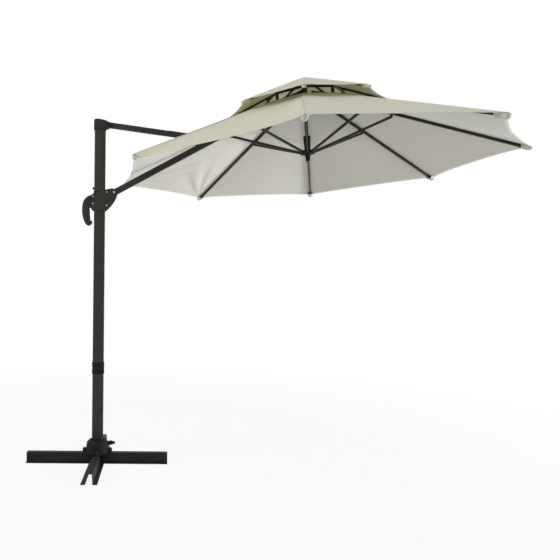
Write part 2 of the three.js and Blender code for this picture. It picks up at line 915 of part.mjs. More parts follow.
// A turned hub with one slot and one cross pin for each rib or stretcher
function slottedHub(profile, pinHeight, discRadius, discHalf, slotWidth) {
  const slots = [];
  const pins = [];
  for (let i = 0; i < ribCount; i += 1) {
    const turn = firstRib + i * ribTurn;
    slots.push(boxAt(
      [hub.slotRadius, -half(slotWidth), pinHeight - discHalf - overrun],
      [discRadius + overrun, half(slotWidth), pinHeight + discHalf + overrun],
    ).rotateZ(turn));
    pins.push(pinAcross(
      new THREE.Vector2(hub.pinCircle, pinHeight), hub.pinRadius,
      -half(slotWidth) - hub.pinRadius, half(slotWidth) + hub.pinRadius, rivetSides,
    ).rotateZ(turn));
  }
  const body = cut(solid(turned(profile, hubSides)), ...slots);
  return pins.reduce((sum, pin) => sum.add(solid(pin)), body);
}

function topHub() {
  const bore = hub.poleRadius + seatGap;
  const [low, high] = [hub.pinHeight - hub.discHalf, hub.pinHeight + hub.discHalf];
  return slottedHub([
    [bore, low],
    [hub.discRadius - half(hub.discHalf), low],
    [hub.discRadius, hub.pinHeight],
    [hub.discRadius - half(hub.discHalf), high],
    [bore, high],
    [bore, low],
  ], hub.pinHeight, hub.discRadius, hub.discHalf, rib.width + runGap * 2);
}

function runnerHub() {
  const bore = hub.poleRadius + runGap;
  const [low, high] = [runner.pinHeight - runner.discHalf, runner.pinHeight + runner.discHalf];
  return slottedHub([
    [bore, low],
    [runner.discRadius - half(runner.discHalf), low],
    [runner.discRadius, runner.pinHeight - half(runner.discHalf)],
    [runner.discRadius, runner.pinHeight + half(runner.discHalf)],
    [runner.discRadius - half(runner.discHalf), high],
    [runner.neckRadius + runner.neckFillet, high],
    [runner.neckRadius, high + overrun],
    [runner.neckTopRadius, runner.neckTop - overrun],
    [runner.neckTopRadius - runner.neckFillet, runner.neckTop],
    [bore, runner.neckTop],
    [bore, low],
  ], runner.pinHeight, runner.discRadius, runner.discHalf, stretcher.width + runGap * 2);
}

// The grip below the runner as shares of its radius and length, from its round foot up
const gripShares = [
  [0, 0], [0.5, 0], [0.85, 0.08], [1, 0.35], [1.06, 0.7], [1.25, 0.88], [1.25, 1],
];

function runnerGrip() {
  const top = runner.pinHeight - runner.discHalf - seatGap;
  const bore = hub.poleRadius + runGap;
  const floor = hub.poleBottom - runner.footRoom;
  const length = top - runner.gripBottom;
  return turned([
    ...gripShares.map(([x, y]) => [x * runner.gripRadius, runner.gripBottom + y * length]),
    [bore, top],
    [bore, floor],
    [0, floor],
  ]);
}

const pole = () => turned([
  [0, hub.poleBottom],
  [hub.poleRadius, hub.poleBottom],
  [hub.poleRadius, hub.poleTop],
  [0, hub.poleTop],
]);

// The button on the pole's top as shares of its radius and thickness
const crownShares = [[0, 0], [1, 0], [0.8, 0.8], [0.3, 1], [0, 1]];
const crown = () => turned(crownShares.map(([x, y]) => [
  x * hub.crownRadius, hub.poleTop + seatGap + y * hub.crownThickness,
]));

// The bracket reaches from the arm's pin to a collar clamped on the pole
function hubBracket() {
  const pin = new THREE.Vector2(-hub.pivotReach, -hub.pivotDrop);
  const slope = armAngle + lean;
  const collarMiddle = pin.y + hub.pivotReach * Math.tan(slope);
  const onAxis = new THREE.Vector2(0, collarMiddle);
  const clear = half(arm.height) + overrun;
  const blockStart = pin.clone().add(polar(clear, slope));
  const blockEnd = pin.clone().add(polar(clear + hub.bracketCheek * 2, slope));
  const cheeks = both((sign) => {
    const [near, far] = [cheekInner, cheekInner + hub.bracketCheek];
    const span = sign > 0 ? [near, far] : [-far, -near];
    const shape = link(pin, blockEnd, half(hub.bracketHeight), half(hub.bracketHeight));
    return side(hole(shape, pin, arm.pinRadius + runGap), ...span, roundEdges);
  });
  const outer = cheekInner + hub.bracketCheek;
  const past = onAxis.clone().add(polar(overrun, slope));
  const square = side(bar(blockEnd, past, hub.bracketHeight + overrun), -outer * 2, outer * 2);
  const flanks = cut(join(...cheeks), square);
  const block = side(bar(blockStart, blockEnd, hub.bracketHeight), -outer, outer);
  const neck = side(
    bar(blockStart, onAxis, hub.bracketHeight), -hub.bracketHalf, hub.bracketHalf,
  );
  const collar = turned([
    [0, collarMiddle - hub.collarHalf],
    [hub.collarRadius, collarMiddle - hub.collarHalf],
    [hub.collarRadius, collarMiddle + hub.collarHalf],
    [0, collarMiddle + hub.collarHalf],
  ]);
  const bore = turned([
    [0, collarMiddle - hub.bracketHeight * 2],
    [hub.poleRadius + seatGap, collarMiddle - hub.bracketHeight * 2],
    [hub.poleRadius + seatGap, collarMiddle + hub.bracketHeight * 2],
    [0, collarMiddle + hub.bracketHeight * 2],
  ]);
  return cut(flanks.add(join(block, neck, collar)), bore);
}

const hubPoint = new THREE.Vector2(hub.pinCircle, hub.pinHeight);
const jointPoint = new THREE.Vector2(rib.jointReach, rib.jointHeight);
const runnerPoint = new THREE.Vector2(hub.pinCircle, runner.pinHeight);

// A rib: its hub foot, the straight bar, the lug that the stretcher forks over and the tip
function ribBody() {
  const start = new THREE.Vector2(rib.startReach, ribLine(rib.startReach));
  const end = new THREE.Vector2(rib.tipReach - rib.tipLength, ribLine(rib.tipReach - rib.tipLength));
  const tip = new THREE.Vector2(rib.tipReach, ribLine(rib.tipReach));
  const main = side(bar(start, end, rib.height), -half(rib.width), half(rib.width));
  const along = polar(1, -Math.atan(rib.riseRatio));
  const inside = half(rib.width) - rib.wall;
  const bore = side(bar(
    start.clone().addScaledVector(along, rib.solidEnd),
    end.clone().addScaledVector(along, overrun),
    rib.height - rib.wall * 2,
  ), -inside, inside);
  const drop = new THREE.Vector2(rib.jointReach, ribLine(rib.jointReach) - half(rib.height));
  const footReach = start.clone().addScaledVector(along, half(rib.height));
  const radius = rib.lugRadius;
  const span = [-half(rib.width), half(rib.width)];
  const footLug = side(link(hubPoint, footReach, radius, radius), ...span);
  const lug = side(link(drop, jointPoint, radius, radius), ...span);
  const past = end.clone().addScaledVector(along, -rib.tipLength);
  const nose = side(link(past, tip, rib.tipRadius, rib.tipRadius), -rib.tipRadius, rib.tipRadius);
  const bores = [hubPoint, jointPoint].map((pin) => pinAcross(
    pin, hub.pinRadius + runGap, -rib.width, rib.width, rivetSides,
  ));
  const tube = cut(solid(main), bore);
  return cut(tube.add(join(footLug, lug, nose)), ...bores);
}

// A stretcher: a bar from the runner's pin to a fork with its rivet
function stretcherBody() {
  const direction = jointPoint.clone().sub(runnerPoint).normalize();
  const forkRoot = jointPoint.clone().addScaledVector(direction, -stretcher.forkReach);
  const blockRoot = forkRoot.clone().addScaledVector(direction, -stretcher.forkBlock);
  const inner = half(rib.width) + runGap;
  const outer = inner + stretcher.strap;
  const barHalf = half(stretcher.width);
  const radius = half(stretcher.height);
  const beam = side(link(runnerPoint, blockRoot, radius, radius), -barHalf, barHalf);
  const block = side(bar(blockRoot, forkRoot, stretcher.height - seatGap * 2), -outer, outer);
  const straps = both((sign) => side(
    link(jointPoint, blockRoot, radius, radius),
    sign > 0 ? inner : -outer,
    sign > 0 ? outer : -inner,
  ));
  const rivet = pinAcross(
    jointPoint, hub.pinRadius, -inner - seatGap, inner + seatGap, rivetSides,
  );
  const heads = both((sign) => pinAcross(
    jointPoint,
    stretcher.rivetHead,
    sign > 0 ? outer - seatGap : -outer - stretcher.rivetHeight,
    sign > 0 ? outer + stretcher.rivetHeight : -outer + seatGap,
  ));
  const bore = pinAcross(
    runnerPoint, hub.pinRadius + runGap, -stretcher.width, stretcher.width, rivetSides,
  );
  return cut(join(beam, block, ...straps, rivet, ...heads), bore);
}

// A vent rib and the post that stands it on the main rib
function ventRibBody() {
  const start = new THREE.Vector2(ventRib.startReach, ventLine(ventRib.startReach));
  const tip = new THREE.Vector2(ventRib.tipReach, ventLine(ventRib.tipReach));
  const span = [-half(ventRib.width), half(ventRib.width)];
  const beam = side(bar(start, tip, ventRib.height), ...span);
  const slope = Math.atan(rib.riseRatio);
  const [inner, outer] = both((sign) => ventRib.postReach + sign * half(ventRib.postWidth));
  const lift = half(rib.height) / Math.cos(slope) + seatGap;
  const post = side(outline([
    [outer, ribLine(outer) + lift],
    [inner, ribLine(inner) + lift],
    [inner, ventLine(inner)],
    [outer, ventLine(outer)],
  ]), ...span);
  return join(beam, post);
}

// Cloth

// A closed cloth from a top surface: a grid goes round all ribs and its copy lies below
function clothSolid(across, along, sagOf, height, hollow, inner, outer) {
  const { thickness } = cloth;
  const around = across * ribCount;
  const points = [];
  for (const under of [0, 1]) {
    for (let i = 0; i < around; i += 1) {
      const panel = Math.floor(i / across);
      const share = (i % across) / across;
      const bow = 4 * share * (1 - share);
      const [from, to] = [firstRib + panel * ribTurn, firstRib + (panel + 1) * ribTurn];
      for (let j = 0; j <= along; j += 1) {
        const reach = inner + (outer - hollow * bow - inner) * (j / along);
        const [a, b] = [polar(reach, from), polar(reach, to)];
        const flat = a.lerp(b, share);
        const drop = thickness * under;
        points.push(flat.x, flat.y, height(reach) - sagOf(panel, bow, j / along) - drop);
      }
    }
  }
  const faces = [];
  const at = (under, i, j) => (under * around + (i % around)) * (along + 1) + j;
  const quad = (a, b, c, d) => faces.push(a, b, c, a, c, d);
  for (let i = 0; i < around; i += 1) {
    for (let j = 0; j < along; j += 1) {
      quad(at(0, i, j), at(0, i, j + 1), at(0, i + 1, j + 1), at(0, i + 1, j));
      quad(at(1, i, j), at(1, i + 1, j), at(1, i + 1, j + 1), at(1, i, j + 1));
    }
    quad(at(0, i, 0), at(0, i + 1, 0), at(1, i + 1, 0), at(1, i, 0));
    quad(at(0, i, along), at(1, i, along), at(1, i + 1, along), at(0, i + 1, along));
  }
  const geometry = new THREE.BufferGeometry();
  geometry.setAttribute('position', new THREE.Float32BufferAttribute(points, 3));
  geometry.setIndex(faces);
  return geometry;
}

// The panel that faces the mast hangs slack, because the strut's slot opens it
const slackPanel = half(ribCount) - 1;

function mainCloth() {
  const slope = Math.atan(rib.riseRatio);
  const rise = half(rib.height) / Math.cos(slope) + softGap + cloth.thickness;
  const height = (reach) => ribLine(reach) + rise;
  const sagOf = (panel, bow, share) => {
    const deep = panel === slackPanel ? cloth.slackSag : cloth.sag;
    return deep * bow ** 2 * Math.sin(share * radians(cloth.sagSpanDeg));
  };
  const body = clothSolid(
    mainAcrossCount, mainAlongCount, sagOf, height,
    cloth.hemHollow, cloth.ventReach, cloth.rimReach,
  );
  const slotTool = boxAt(
    [-cloth.slotTo, -cloth.slotHalf, -cloth.rimReach],
    [-cloth.slotFrom, cloth.slotHalf, cloth.rimReach],
  );
  return cut(solid(body), slotTool);
}

// A round reinforcement closes the peak, over the top hub's crown
function peakCloth(edge) {
  const reach = cloth.topPeakReach + overrun;
  const slope = ventRib.riseRatio;
  const under = edge - half(cloth.thickness);
  return turned([
    [0, under + cloth.topPeakReach * slope],
    [cloth.topPeakReach - overrun, under + overrun * slope],
    [reach, under - overrun * slope],
    [reach, under - overrun * slope + cloth.thickness],
    [0, under + cloth.thickness + cloth.topPeakReach * slope],
  ], ribCount * 2);
}

function topCloth() {
  const slope = Math.atan(ventRib.riseRatio);
  const rise = half(ventRib.height) / Math.cos(slope) + softGap + cloth.thickness;
  const height = (reach) => ventLine(reach) + rise;
  const sagOf = (panel, bow, share) => cloth.topSag * bow ** 2 * share;
  const tier = clothSolid(
    topAcrossCount, topAlongCount, sagOf, height,
    cloth.topHollow, cloth.topPeakReach, cloth.topReach,
  );
  return join(tier, peakCloth(height(cloth.topPeakReach)));
}

// A webbing ring ties the posts together
function ventWebbing() {
  const corner = ventRib.postReach + half(ventRib.postWidth) + seatGap
    + half(ventRib.width) * Math.tan(half(ribTurn));
  const ring = (reach) => Array.from({ length: ribCount }, (_, i) => {
    const spot = polar(reach, firstRib + i * ribTurn);
    return [spot.x, spot.y];
  });
  const shape = outline(ring(corner + cloth.strapThickness));
  shape.holes.push(new THREE.Path(outline(ring(corner)).getPoints()));
  const middle = cloth.strapHeight;
  return prism(shape, middle - half(cloth.strapWidth), middle + half(cloth.strapWidth));
}

// Assembly

function baseGroup() {
  const group = new THREE.Group();
  group.rotation.z = radians(base.yawDeg);
  group.add(
    piece('base_channel_long', baseLong(), finish.frame),
    piece('base_leg_near', baseLeg(-quarterTurn), finish.frame),
    piece('base_leg_far', baseLeg(quarterTurn), finish.frame),
    piece('swivel_housing', footHousing(), finish.plastic),
    piece('swivel_lock_knob', lockKnob(), finish.rubber),
  );
  return group;
}

function mastGroup() {
  const group = new THREE.Group();
  const seam = half(seatGap);
  const lowerFoot = foot.collarTop + seatGap;
  group.add(
    piece('swivel_post', swivelPost(), finish.plastic),
    piece('mast_lower', mastTube(lowerFoot, mast.jointHeight - seam), finish.frame),
    piece('mast_upper', mastTube(mast.jointHeight + seam, mast.top), finish.frame),
    piece('mast_joint_sleeve', jointSleeve(), finish.plastic),
    piece('mast_top_cap', topCap(), finish.plastic),
    piece('carriage_stop', stopBuffer(), finish.rubber),
    piece('cap_bolt', crossBolt(
      strutFoot, strut.pinRadius, strut.headRadius, cap.noseHalf + seatGap, strut.headHeight,
    ), finish.plastic),
  );
  return group;
}

function linkageGroup() {
  const group = new THREE.Group();
  group.add(
    piece('strut_tube', strutTube(), finish.frame),
    piece('strut_end_lug', endLug(
      strutFoot, strutAt(strut.tubeLength), strut.height, strut.width, strut.wall,
      strut.tubeStart, strut.plugLength, strut.pinRadius + runGap,
    ), finish.plastic),
    piece('strut_cheek_near', strutCheek(-1), finish.frame),
    piece('strut_cheek_far', strutCheek(1), finish.frame),
    piece('arm_tube', armTube(), finish.frame),
    piece('arm_lower_lug', armLug(armFoot, hubPin), finish.plastic),
    piece('arm_upper_lug', armLug(hubPin, armFoot), finish.plastic),
  );
  return group;
}

function carriageGroup() {
  const group = new THREE.Group();
  group.add(
    piece('carriage_plate_near', carriagePlate(-1), finish.frame),
    piece('carriage_plate_far', carriagePlate(1), finish.frame),
    piece('carriage_slider', slider(), finish.plastic),
    piece('carriage_handle', handle(), finish.plastic),
    piece('handle_trigger', trigger(), finish.rubber),
    piece('arm_pivot_bolt', crossBolt(
      armFoot, arm.pinRadius, arm.headRadius, headSeat, arm.headHeight,
    ), finish.bright),
  );
  return group;
}

function canopyGroup() {
  const group = new THREE.Group();
  group.position.copy(crownPoint);
  group.rotation.y = lean;
  const pin = new THREE.Vector2(-hub.pivotReach, -hub.pivotDrop);
  const cheekFace = cheekInner + hub.bracketCheek + seatGap;
  group.add(
    piece('canopy_pole', pole(), finish.frame),
    piece('canopy_crown', crown(), finish.plastic),
    piece('canopy_top_hub', topHub(), finish.plastic),
    piece('hub_bracket', hubBracket(), finish.frame),
    piece('hub_pivot_bolt', crossBolt(
      pin, arm.pinRadius, arm.headRadius, cheekFace, arm.headHeight,
    ), finish.bright),
    piece('runner_hub', runnerHub(), finish.plastic),
    piece('runner_grip', runnerGrip(), finish.plastic),
    piece('canopy_main', mainCloth(), finish.cloth),
    piece('canopy_top', topCloth(), finish.topCloth),
    piece('vent_webbing', ventWebbing(), finish.webbing),
  );
  for (let i = 0; i < ribCount; i += 1) {
    const spoke = new THREE.Group();
    spoke.rotation.z = firstRib + i * ribTurn;
    spoke.add(
      piece(`rib_${i + 1}`, ribBody(), finish.frame),
      piece(`stretcher_${i + 1}`, stretcherBody(), finish.frame),
      piece(`vent_rib_${i + 1}`, ventRibBody(), finish.frame),
    );
    group.add(spoke);
  }
  return group;
}

const parasol = new THREE.Group();
parasol.add(baseGroup(), mastGroup(), linkageGroup(), carriageGroup(), canopyGroup());

export default parasol;
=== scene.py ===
import json
import math

import bpy
from mathutils import Matrix, Vector

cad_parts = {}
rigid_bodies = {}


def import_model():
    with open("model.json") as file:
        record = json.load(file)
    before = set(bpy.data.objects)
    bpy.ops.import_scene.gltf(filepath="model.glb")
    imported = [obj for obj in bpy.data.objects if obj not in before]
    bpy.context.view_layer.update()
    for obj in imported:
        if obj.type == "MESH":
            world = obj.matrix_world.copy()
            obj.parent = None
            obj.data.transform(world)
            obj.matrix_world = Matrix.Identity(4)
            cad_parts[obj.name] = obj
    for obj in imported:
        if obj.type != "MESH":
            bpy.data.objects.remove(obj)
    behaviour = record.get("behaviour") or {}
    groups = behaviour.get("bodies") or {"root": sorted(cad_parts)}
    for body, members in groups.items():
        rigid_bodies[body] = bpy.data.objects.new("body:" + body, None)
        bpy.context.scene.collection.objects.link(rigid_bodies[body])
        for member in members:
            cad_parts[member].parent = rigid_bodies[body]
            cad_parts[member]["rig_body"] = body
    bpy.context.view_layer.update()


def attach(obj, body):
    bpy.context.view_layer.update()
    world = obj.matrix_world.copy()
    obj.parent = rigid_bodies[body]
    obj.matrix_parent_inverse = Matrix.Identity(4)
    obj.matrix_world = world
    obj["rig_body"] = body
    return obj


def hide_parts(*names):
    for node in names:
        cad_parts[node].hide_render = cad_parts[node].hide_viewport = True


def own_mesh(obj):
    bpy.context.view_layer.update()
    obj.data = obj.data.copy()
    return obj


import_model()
print("the parasol's solids are loaded")

mm = 0.001


def linearColour(hexValue, alpha=1.0):
    # sRGB hex to the linear values that the sockets take
    channels = [int(hexValue[i:i + 2], 16) / 255 for i in (1, 3, 5)]
    linear = [c / 12.92 if c <= 0.04045 else ((c + 0.055) / 1.055) ** 2.4 for c in channels]
    return (*linear, alpha)


def addNode(tree, kind, settings=None, sockets=None, links=None):
    # one node with its settings, its socket values and what feeds it
    node = tree.nodes.new(kind)
    for key, value in (settings or {}).items():
        setattr(node, key, value)
    for key, value in (sockets or {}).items():
        node.inputs[key].default_value = value
    for key, source in (links or {}).items():
        tree.links.new(source, node.inputs[key])
    return node


def newMaterial(name, look):
    # a material with its shader, whose uniform values stand on the shader's own sockets
    material = bpy.data.materials.new(name)
    material.use_nodes = True
    tree = material.node_tree
    shader = tree.nodes["Principled BSDF"]
    shader.inputs["Base Color"].default_value = linearColour(look["colour"])
    shader.inputs["Roughness"].default_value = look["roughness"]
    shader.inputs["Metallic"].default_value = look.get("metallic", 0.0)
    for socket, value in look.get("sockets", {}).items():
        shader.inputs[socket].default_value = value
    return material, tree, shader


def blendColours(tree, factor, first, second):
    mix = addNode(tree, "ShaderNodeMix", {"data_type": "RGBA"}, links={0: factor})
    mix.inputs[6].default_value = first
    mix.inputs[7].default_value = second
    return mix.outputs[2]


# the hard finishes

# baked powder coat on extruded aluminium: satin, with a fine orange peel
powderCoat = {
    "colour": "#31302b", "dark": "#292824", "light": "#383731",
    "roughness": 0.5, "grainMm": 1.6, "grainDepth": 0.12,
    "sockets": {"Specular IOR Level": 0.2, "Coat Weight": 0.03, "Coat Roughness": 0.35},
}
# the same coat on bent steel sheet: a little duller and coarser
baseCoat = {
    "colour": "#201f1c", "dark": "#191815", "light": "#272622",
    "roughness": 0.58, "grainMm": 1.8, "grainDepth": 0.16,
    "sockets": {"Specular IOR Level": 0.16},
}
# glass-filled nylon from a spark-eroded mould: matt, with a leathery grain
mouldedNylon = {
    "colour": "#1b1b18", "dark": "#151512", "light": "#22221f",
    "roughness": 0.68, "grainMm": 1.1, "grainDepth": 0.25,
    "sockets": {"Specular IOR Level": 0.14},
}
# nylon from a finer mould: a satin that looks lighter than the other mouldings
fineNylon = mouldedNylon | {
    "colour": "#2b2b27", "dark": "#252521", "light": "#31312d", "roughness": 0.56,
    "sockets": {"Specular IOR Level": 0.22},
}
# moulded rubber: nearly black, with hardly any shine
softRubber = {
    "colour": "#161614", "dark": "#111110", "light": "#1d1d1b",
    "roughness": 0.8, "grainMm": 0.9, "grainDepth": 0.3,
    "sockets": {"Specular IOR Level": 0.18},
}
# zinc-plated steel: bright metal with a soft blur from the plating bath
zincSteel = {
    "colour": "#adafb1", "dark": "#9b9d9f", "light": "#bfc1c3",
    "roughness": 0.3, "metallic": 1.0, "grainMm": 0.8, "grainDepth": 0.08,
}


# what the hard finishes share: how wide the clouds in their tone are, by how much these make
# the surface glossier or duller, and how high the grain stands
hardWear = {
    "cloudMm": 142.86, "cloudDetail": 4.0, "glossier": 0.06, "duller": 0.08,
    "grainDetail": 2.0, "grainHeightMm": 0.2,
}


def hardMaterial(name, look):
    # fine grain for the surface, and slow clouds that vary its tone and its gloss a little
    material, tree, shader = newMaterial(name, look)
    place = addNode(tree, "ShaderNodeTexCoord").outputs["Object"]
    grain = addNode(
        tree, "ShaderNodeTexNoise",
        sockets={"Scale": 1 / (look["grainMm"] * mm), "Detail": hardWear["grainDetail"]},
        links={"Vector": place},
    )
    clouds = addNode(
        tree, "ShaderNodeTexNoise",
        sockets={"Scale": 1 / (hardWear["cloudMm"] * mm), "Detail": hardWear["cloudDetail"]},
        links={"Vector": place},
    )
    tone = blendColours(
        tree, clouds.outputs["Fac"], linearColour(look["dark"]), linearColour(look["light"]),
    )
    tree.links.new(tone, shader.inputs["Base Color"])
    gloss = addNode(
        tree, "ShaderNodeMapRange",
        sockets={
            "To Min": look["roughness"] - hardWear["glossier"],
            "To Max": look["roughness"] + hardWear["duller"],
        },
        links={"Value": clouds.outputs["Fac"]},
    )
    tree.links.new(gloss.outputs["Result"], shader.inputs["Roughness"])
    bump = addNode(
        tree, "ShaderNodeBump",
        sockets={"Strength": look["grainDepth"], "Distance": hardWear["grainHeightMm"] * mm},
        links={"Height": grain.outputs["Fac"]},
    )
    tree.links.new(bump.outputs["Normal"], shader.inputs["Normal"])
    return material


powderCoatedAluminium = hardMaterial("powderCoatedAluminium", powderCoat)
powderCoatedSteel = hardMaterial("powderCoatedSteel", baseCoat)
grainedNylon = hardMaterial("grainedNylon", mouldedNylon)
satinNylon = hardMaterial("satinNylon", fineNylon)
mouldedRubber = hardMaterial("mouldedRubber", softRubber)
zincPlatedSteel = hardMaterial("zincPlatedSteel", zincSteel)

# the cloth finishes

# piece-dyed polyester canvas: matt, with a plain weave and slight slubs
canvasTop = {
    "colour": "#d6d4c1", "thread": "#c7c5b1", "roughness": 0.88, "threadMm": 2.2, "glow": 0.4,
}
# its coated back: the same weave and flatter, with its colour painted greyer for the shade that
# falls under the canopy
canvasUnder = {
    "colour": "#c9c8c2", "thread": "#bab9b0", "roughness": 0.92, "threadMm": 2.2, "glow": 0.45,
}
# the same back under the small top tier: yellower, since more daylight comes through it
topTierUnder = {
    "colour": "#d8d5b4", "thread": "#c8c5a2", "roughness": 0.92, "threadMm": 2.2, "glow": 0.4,
}
# folded canvas tape, sewn down along both edges with a pale thread
bindingTape = {
    "colour": "#d9d7c8", "thread": "#c8c6b5", "roughness": 0.86, "threadMm": 1.4,
    "stitch": "#efeee6",
}
# woven polypropylene webbing: black and dull, with a coarse weave
blackWebbing = {"colour": "#26261f", "thread": "#181814", "roughness": 0.85, "threadMm": 1.6}


# what the cloths share: a soft sheen, the tint and depth of the daylight inside them, the
# slubs' width and strength, and the weave's strength and height
weave = {
    "sheen": 0.25, "sheenRoughness": 0.5, "shine": 0.3, "tint": (1.0, 0.92, 0.66),
    "tintDepthMm": 4, "slubMm": 111.11, "slubDetail": 5.0, "slubShare": 0.55,
    "threadShare": 0.35, "bump": 0.25, "bumpMm": 0.3,
}
# two rows of stitches: how far from the tape's middle, half a thread's width, and from stitch
# to stitch; real ones are 3 mm long, too fine to show, so these are twice that
lockstitch = {"offMm": 4.5, "halfWideMm": 0.7, "stepMm": 6, "gapLevel": -0.4}
# the wave texture turns by this many radians for each metre at a scale of one
waveRadians = 20


def sewnRows(tree, place, tone, threadColour):
    apart = addNode(tree, "ShaderNodeSeparateXYZ", links={0: place})
    off = addNode(tree, "ShaderNodeMath", {"operation": "ABSOLUTE"}, links={0: apart.outputs["X"]})
    row = addNode(
        tree, "ShaderNodeMath", {"operation": "COMPARE"},
        {1: lockstitch["offMm"] * mm, 2: lockstitch["halfWideMm"] * mm},
        {0: off.outputs["Value"]},
    )
    beat = addNode(
        tree, "ShaderNodeMath", {"operation": "MULTIPLY"},
        {1: 2 * math.pi / (lockstitch["stepMm"] * mm)}, {0: apart.outputs["Y"]},
    )
    dash = addNode(tree, "ShaderNodeMath", {"operation": "SINE"}, links={0: beat.outputs["Value"]})
    shown = addNode(
        tree, "ShaderNodeMath", {"operation": "GREATER_THAN"}, {1: lockstitch["gapLevel"]},
        {0: dash.outputs["Value"]},
    )
    thread = addNode(
        tree, "ShaderNodeMath", {"operation": "MULTIPLY"},
        links={0: row.outputs["Value"], 1: shown.outputs["Value"]},
    )
    sewn = addNode(tree, "ShaderNodeMix", {"data_type": "RGBA"}, links={0: thread.outputs["Value"]})
    tree.links.new(tone, sewn.inputs[6])
    sewn.inputs[7].default_value = threadColour
    return sewn.outputs[2]


def clothMaterial(name, look):
    # a plain weave from two crossed waves on the cloth's own UV map, which is in metres;
    # real threads are about 0.4 mm, too fine for the render, so they're drawn coarser
    material, tree, shader = newMaterial(name, look)
    shader.inputs["Sheen Weight"].default_value = weave["sheen"]
    shader.inputs["Sheen Roughness"].default_value = weave["sheenRoughness"]
    shader.inputs["Specular IOR Level"].default_value = weave["shine"]
    if "glow" in look:  # thin cloth that lets some of the daylight through
        shader.inputs["Subsurface Weight"].default_value = look["glow"]
        shader.inputs["Subsurface Radius"].default_value = weave["tint"]
        shader.inputs["Subsurface Scale"].default_value = weave["tintDepthMm"] * mm
    place = addNode(tree, "ShaderNodeUVMap", {"uv_map": "cut"}).outputs["UV"]
    threadScale = 2 * math.pi / (look["threadMm"] * mm) / waveRadians
    warp, weft = [
        addNode(
            tree, "ShaderNodeTexWave", {"bands_direction": way}, {"Scale": threadScale},
            {"Vector": place},
        )
        for way in ("X", "Y")
    ]
    crossed = addNode(
        tree, "ShaderNodeMath", {"operation": "MULTIPLY"},
        links={0: warp.outputs["Fac"], 1: weft.outputs["Fac"]},
    )
    slub = addNode(
        tree, "ShaderNodeTexNoise",
        sockets={"Scale": 1 / (weave["slubMm"] * mm), "Detail": weave["slubDetail"]},
        links={"Vector": place},
    )
    worn = addNode(
        tree, "ShaderNodeMath", {"operation": "MULTIPLY"}, {1: weave["slubShare"]},
        {0: slub.outputs["Fac"]},
    )
    both = addNode(
        tree, "ShaderNodeMath", {"operation": "MULTIPLY_ADD", "use_clamp": True},
        {1: weave["threadShare"]}, {0: crossed.outputs["Value"], 2: worn.outputs["Value"]},
    )
    tone = blendColours(
        tree, both.outputs["Value"], linearColour(look["colour"]), linearColour(look["thread"]),
    )
    if "stitch" in look:
        tone = sewnRows(tree, place, tone, linearColour(look["stitch"]))
    tree.links.new(tone, shader.inputs["Base Color"])
    bump = addNode(
        tree, "ShaderNodeBump",
        sockets={"Strength": weave["bump"], "Distance": weave["bumpMm"] * mm},
        links={"Height": crossed.outputs["Value"]},
    )
    tree.links.new(bump.outputs["Normal"], shader.inputs["Normal"])
    return material


polyesterCanvas = clothMaterial("polyesterCanvas", canvasTop)
# the underside's greyer colour is painted shade, not a colour of the cloth
shadedCanvasUnderside = clothMaterial("shadedCanvasUnderside", canvasUnder)
ventTierUnderside = clothMaterial("ventTierUnderside", topTierUnder)
polyesterBinding = clothMaterial("polyesterBinding", bindingTape)
wovenWebbing = clothMaterial("wovenWebbing", blackWebbing)
print("the materials are ready")


# the hard pieces, taken from the solids: finish, slot, width of the rolled edges, nodes

hardPieces = {
    "base": (powderCoatedSteel, "base_steel", 0.8, [
        "base_channel_long", "base_leg_near", "base_leg_far",
    ]),
    "nylon": (grainedNylon, "plastic", 1.4, [
        "swivel_housing", "swivel_post", "mast_joint_sleeve", "carriage_slider",
        "canopy_crown", "canopy_top_hub", "runner_hub", "runner_grip", "cap_bolt",
    ]),
    "satin": (satinNylon, "plastic", 1.4, [
        "carriage_handle", "mast_top_cap", "strut_end_lug", "arm_lower_lug", "arm_upper_lug",
    ]),
    "rubber": (mouldedRubber, "rubber", 1.0, [
        "swivel_lock_knob", "carriage_stop", "handle_trigger",
    ]),
    "tubes": (powderCoatedAluminium, "frame", 0.9, [
        "mast_lower", "mast_upper", "strut_tube", "arm_tube", "carriage_plate_near",
        "carriage_plate_far", "strut_cheek_near", "strut_cheek_far", "hub_bracket", "canopy_pole",
    ]),
    "bolts": (zincPlatedSteel, "bright", 0.7, ["arm_pivot_bolt", "hub_pivot_bolt"]),
    "ribs": (powderCoatedAluminium, "frame", 0.8, [
        f"{kind}_{i}" for kind in ("rib", "stretcher", "vent_rib") for i in range(1, 9)
    ]),
}


def selectOnly(piece):
    bpy.ops.object.select_all(action="DESELECT")
    piece.select_set(True)
    bpy.context.view_layer.objects.active = piece


# points this near are welded, and faces this flat are made one; then the angles above which
# an edge is rolled over, on a solid and on a small head, and shown sharp
edges = {"weldMm": 0.01, "flatDeg": 0.5, "sharpDeg": 38, "rimDeg": 40, "smoothDeg": 35}


def rollEdges(piece, widthMm, sharpDeg):
    bevel = piece.modifiers.new("rolledEdges", "BEVEL")
    bevel.width = widthMm * mm
    bevel.segments = 2
    bevel.limit_method = "ANGLE"
    bevel.angle_limit = math.radians(sharpDeg)
    bpy.ops.object.modifier_apply(modifier=bevel.name)
    bpy.ops.object.shade_smooth_by_angle(angle=math.radians(edges["smoothDeg"]))


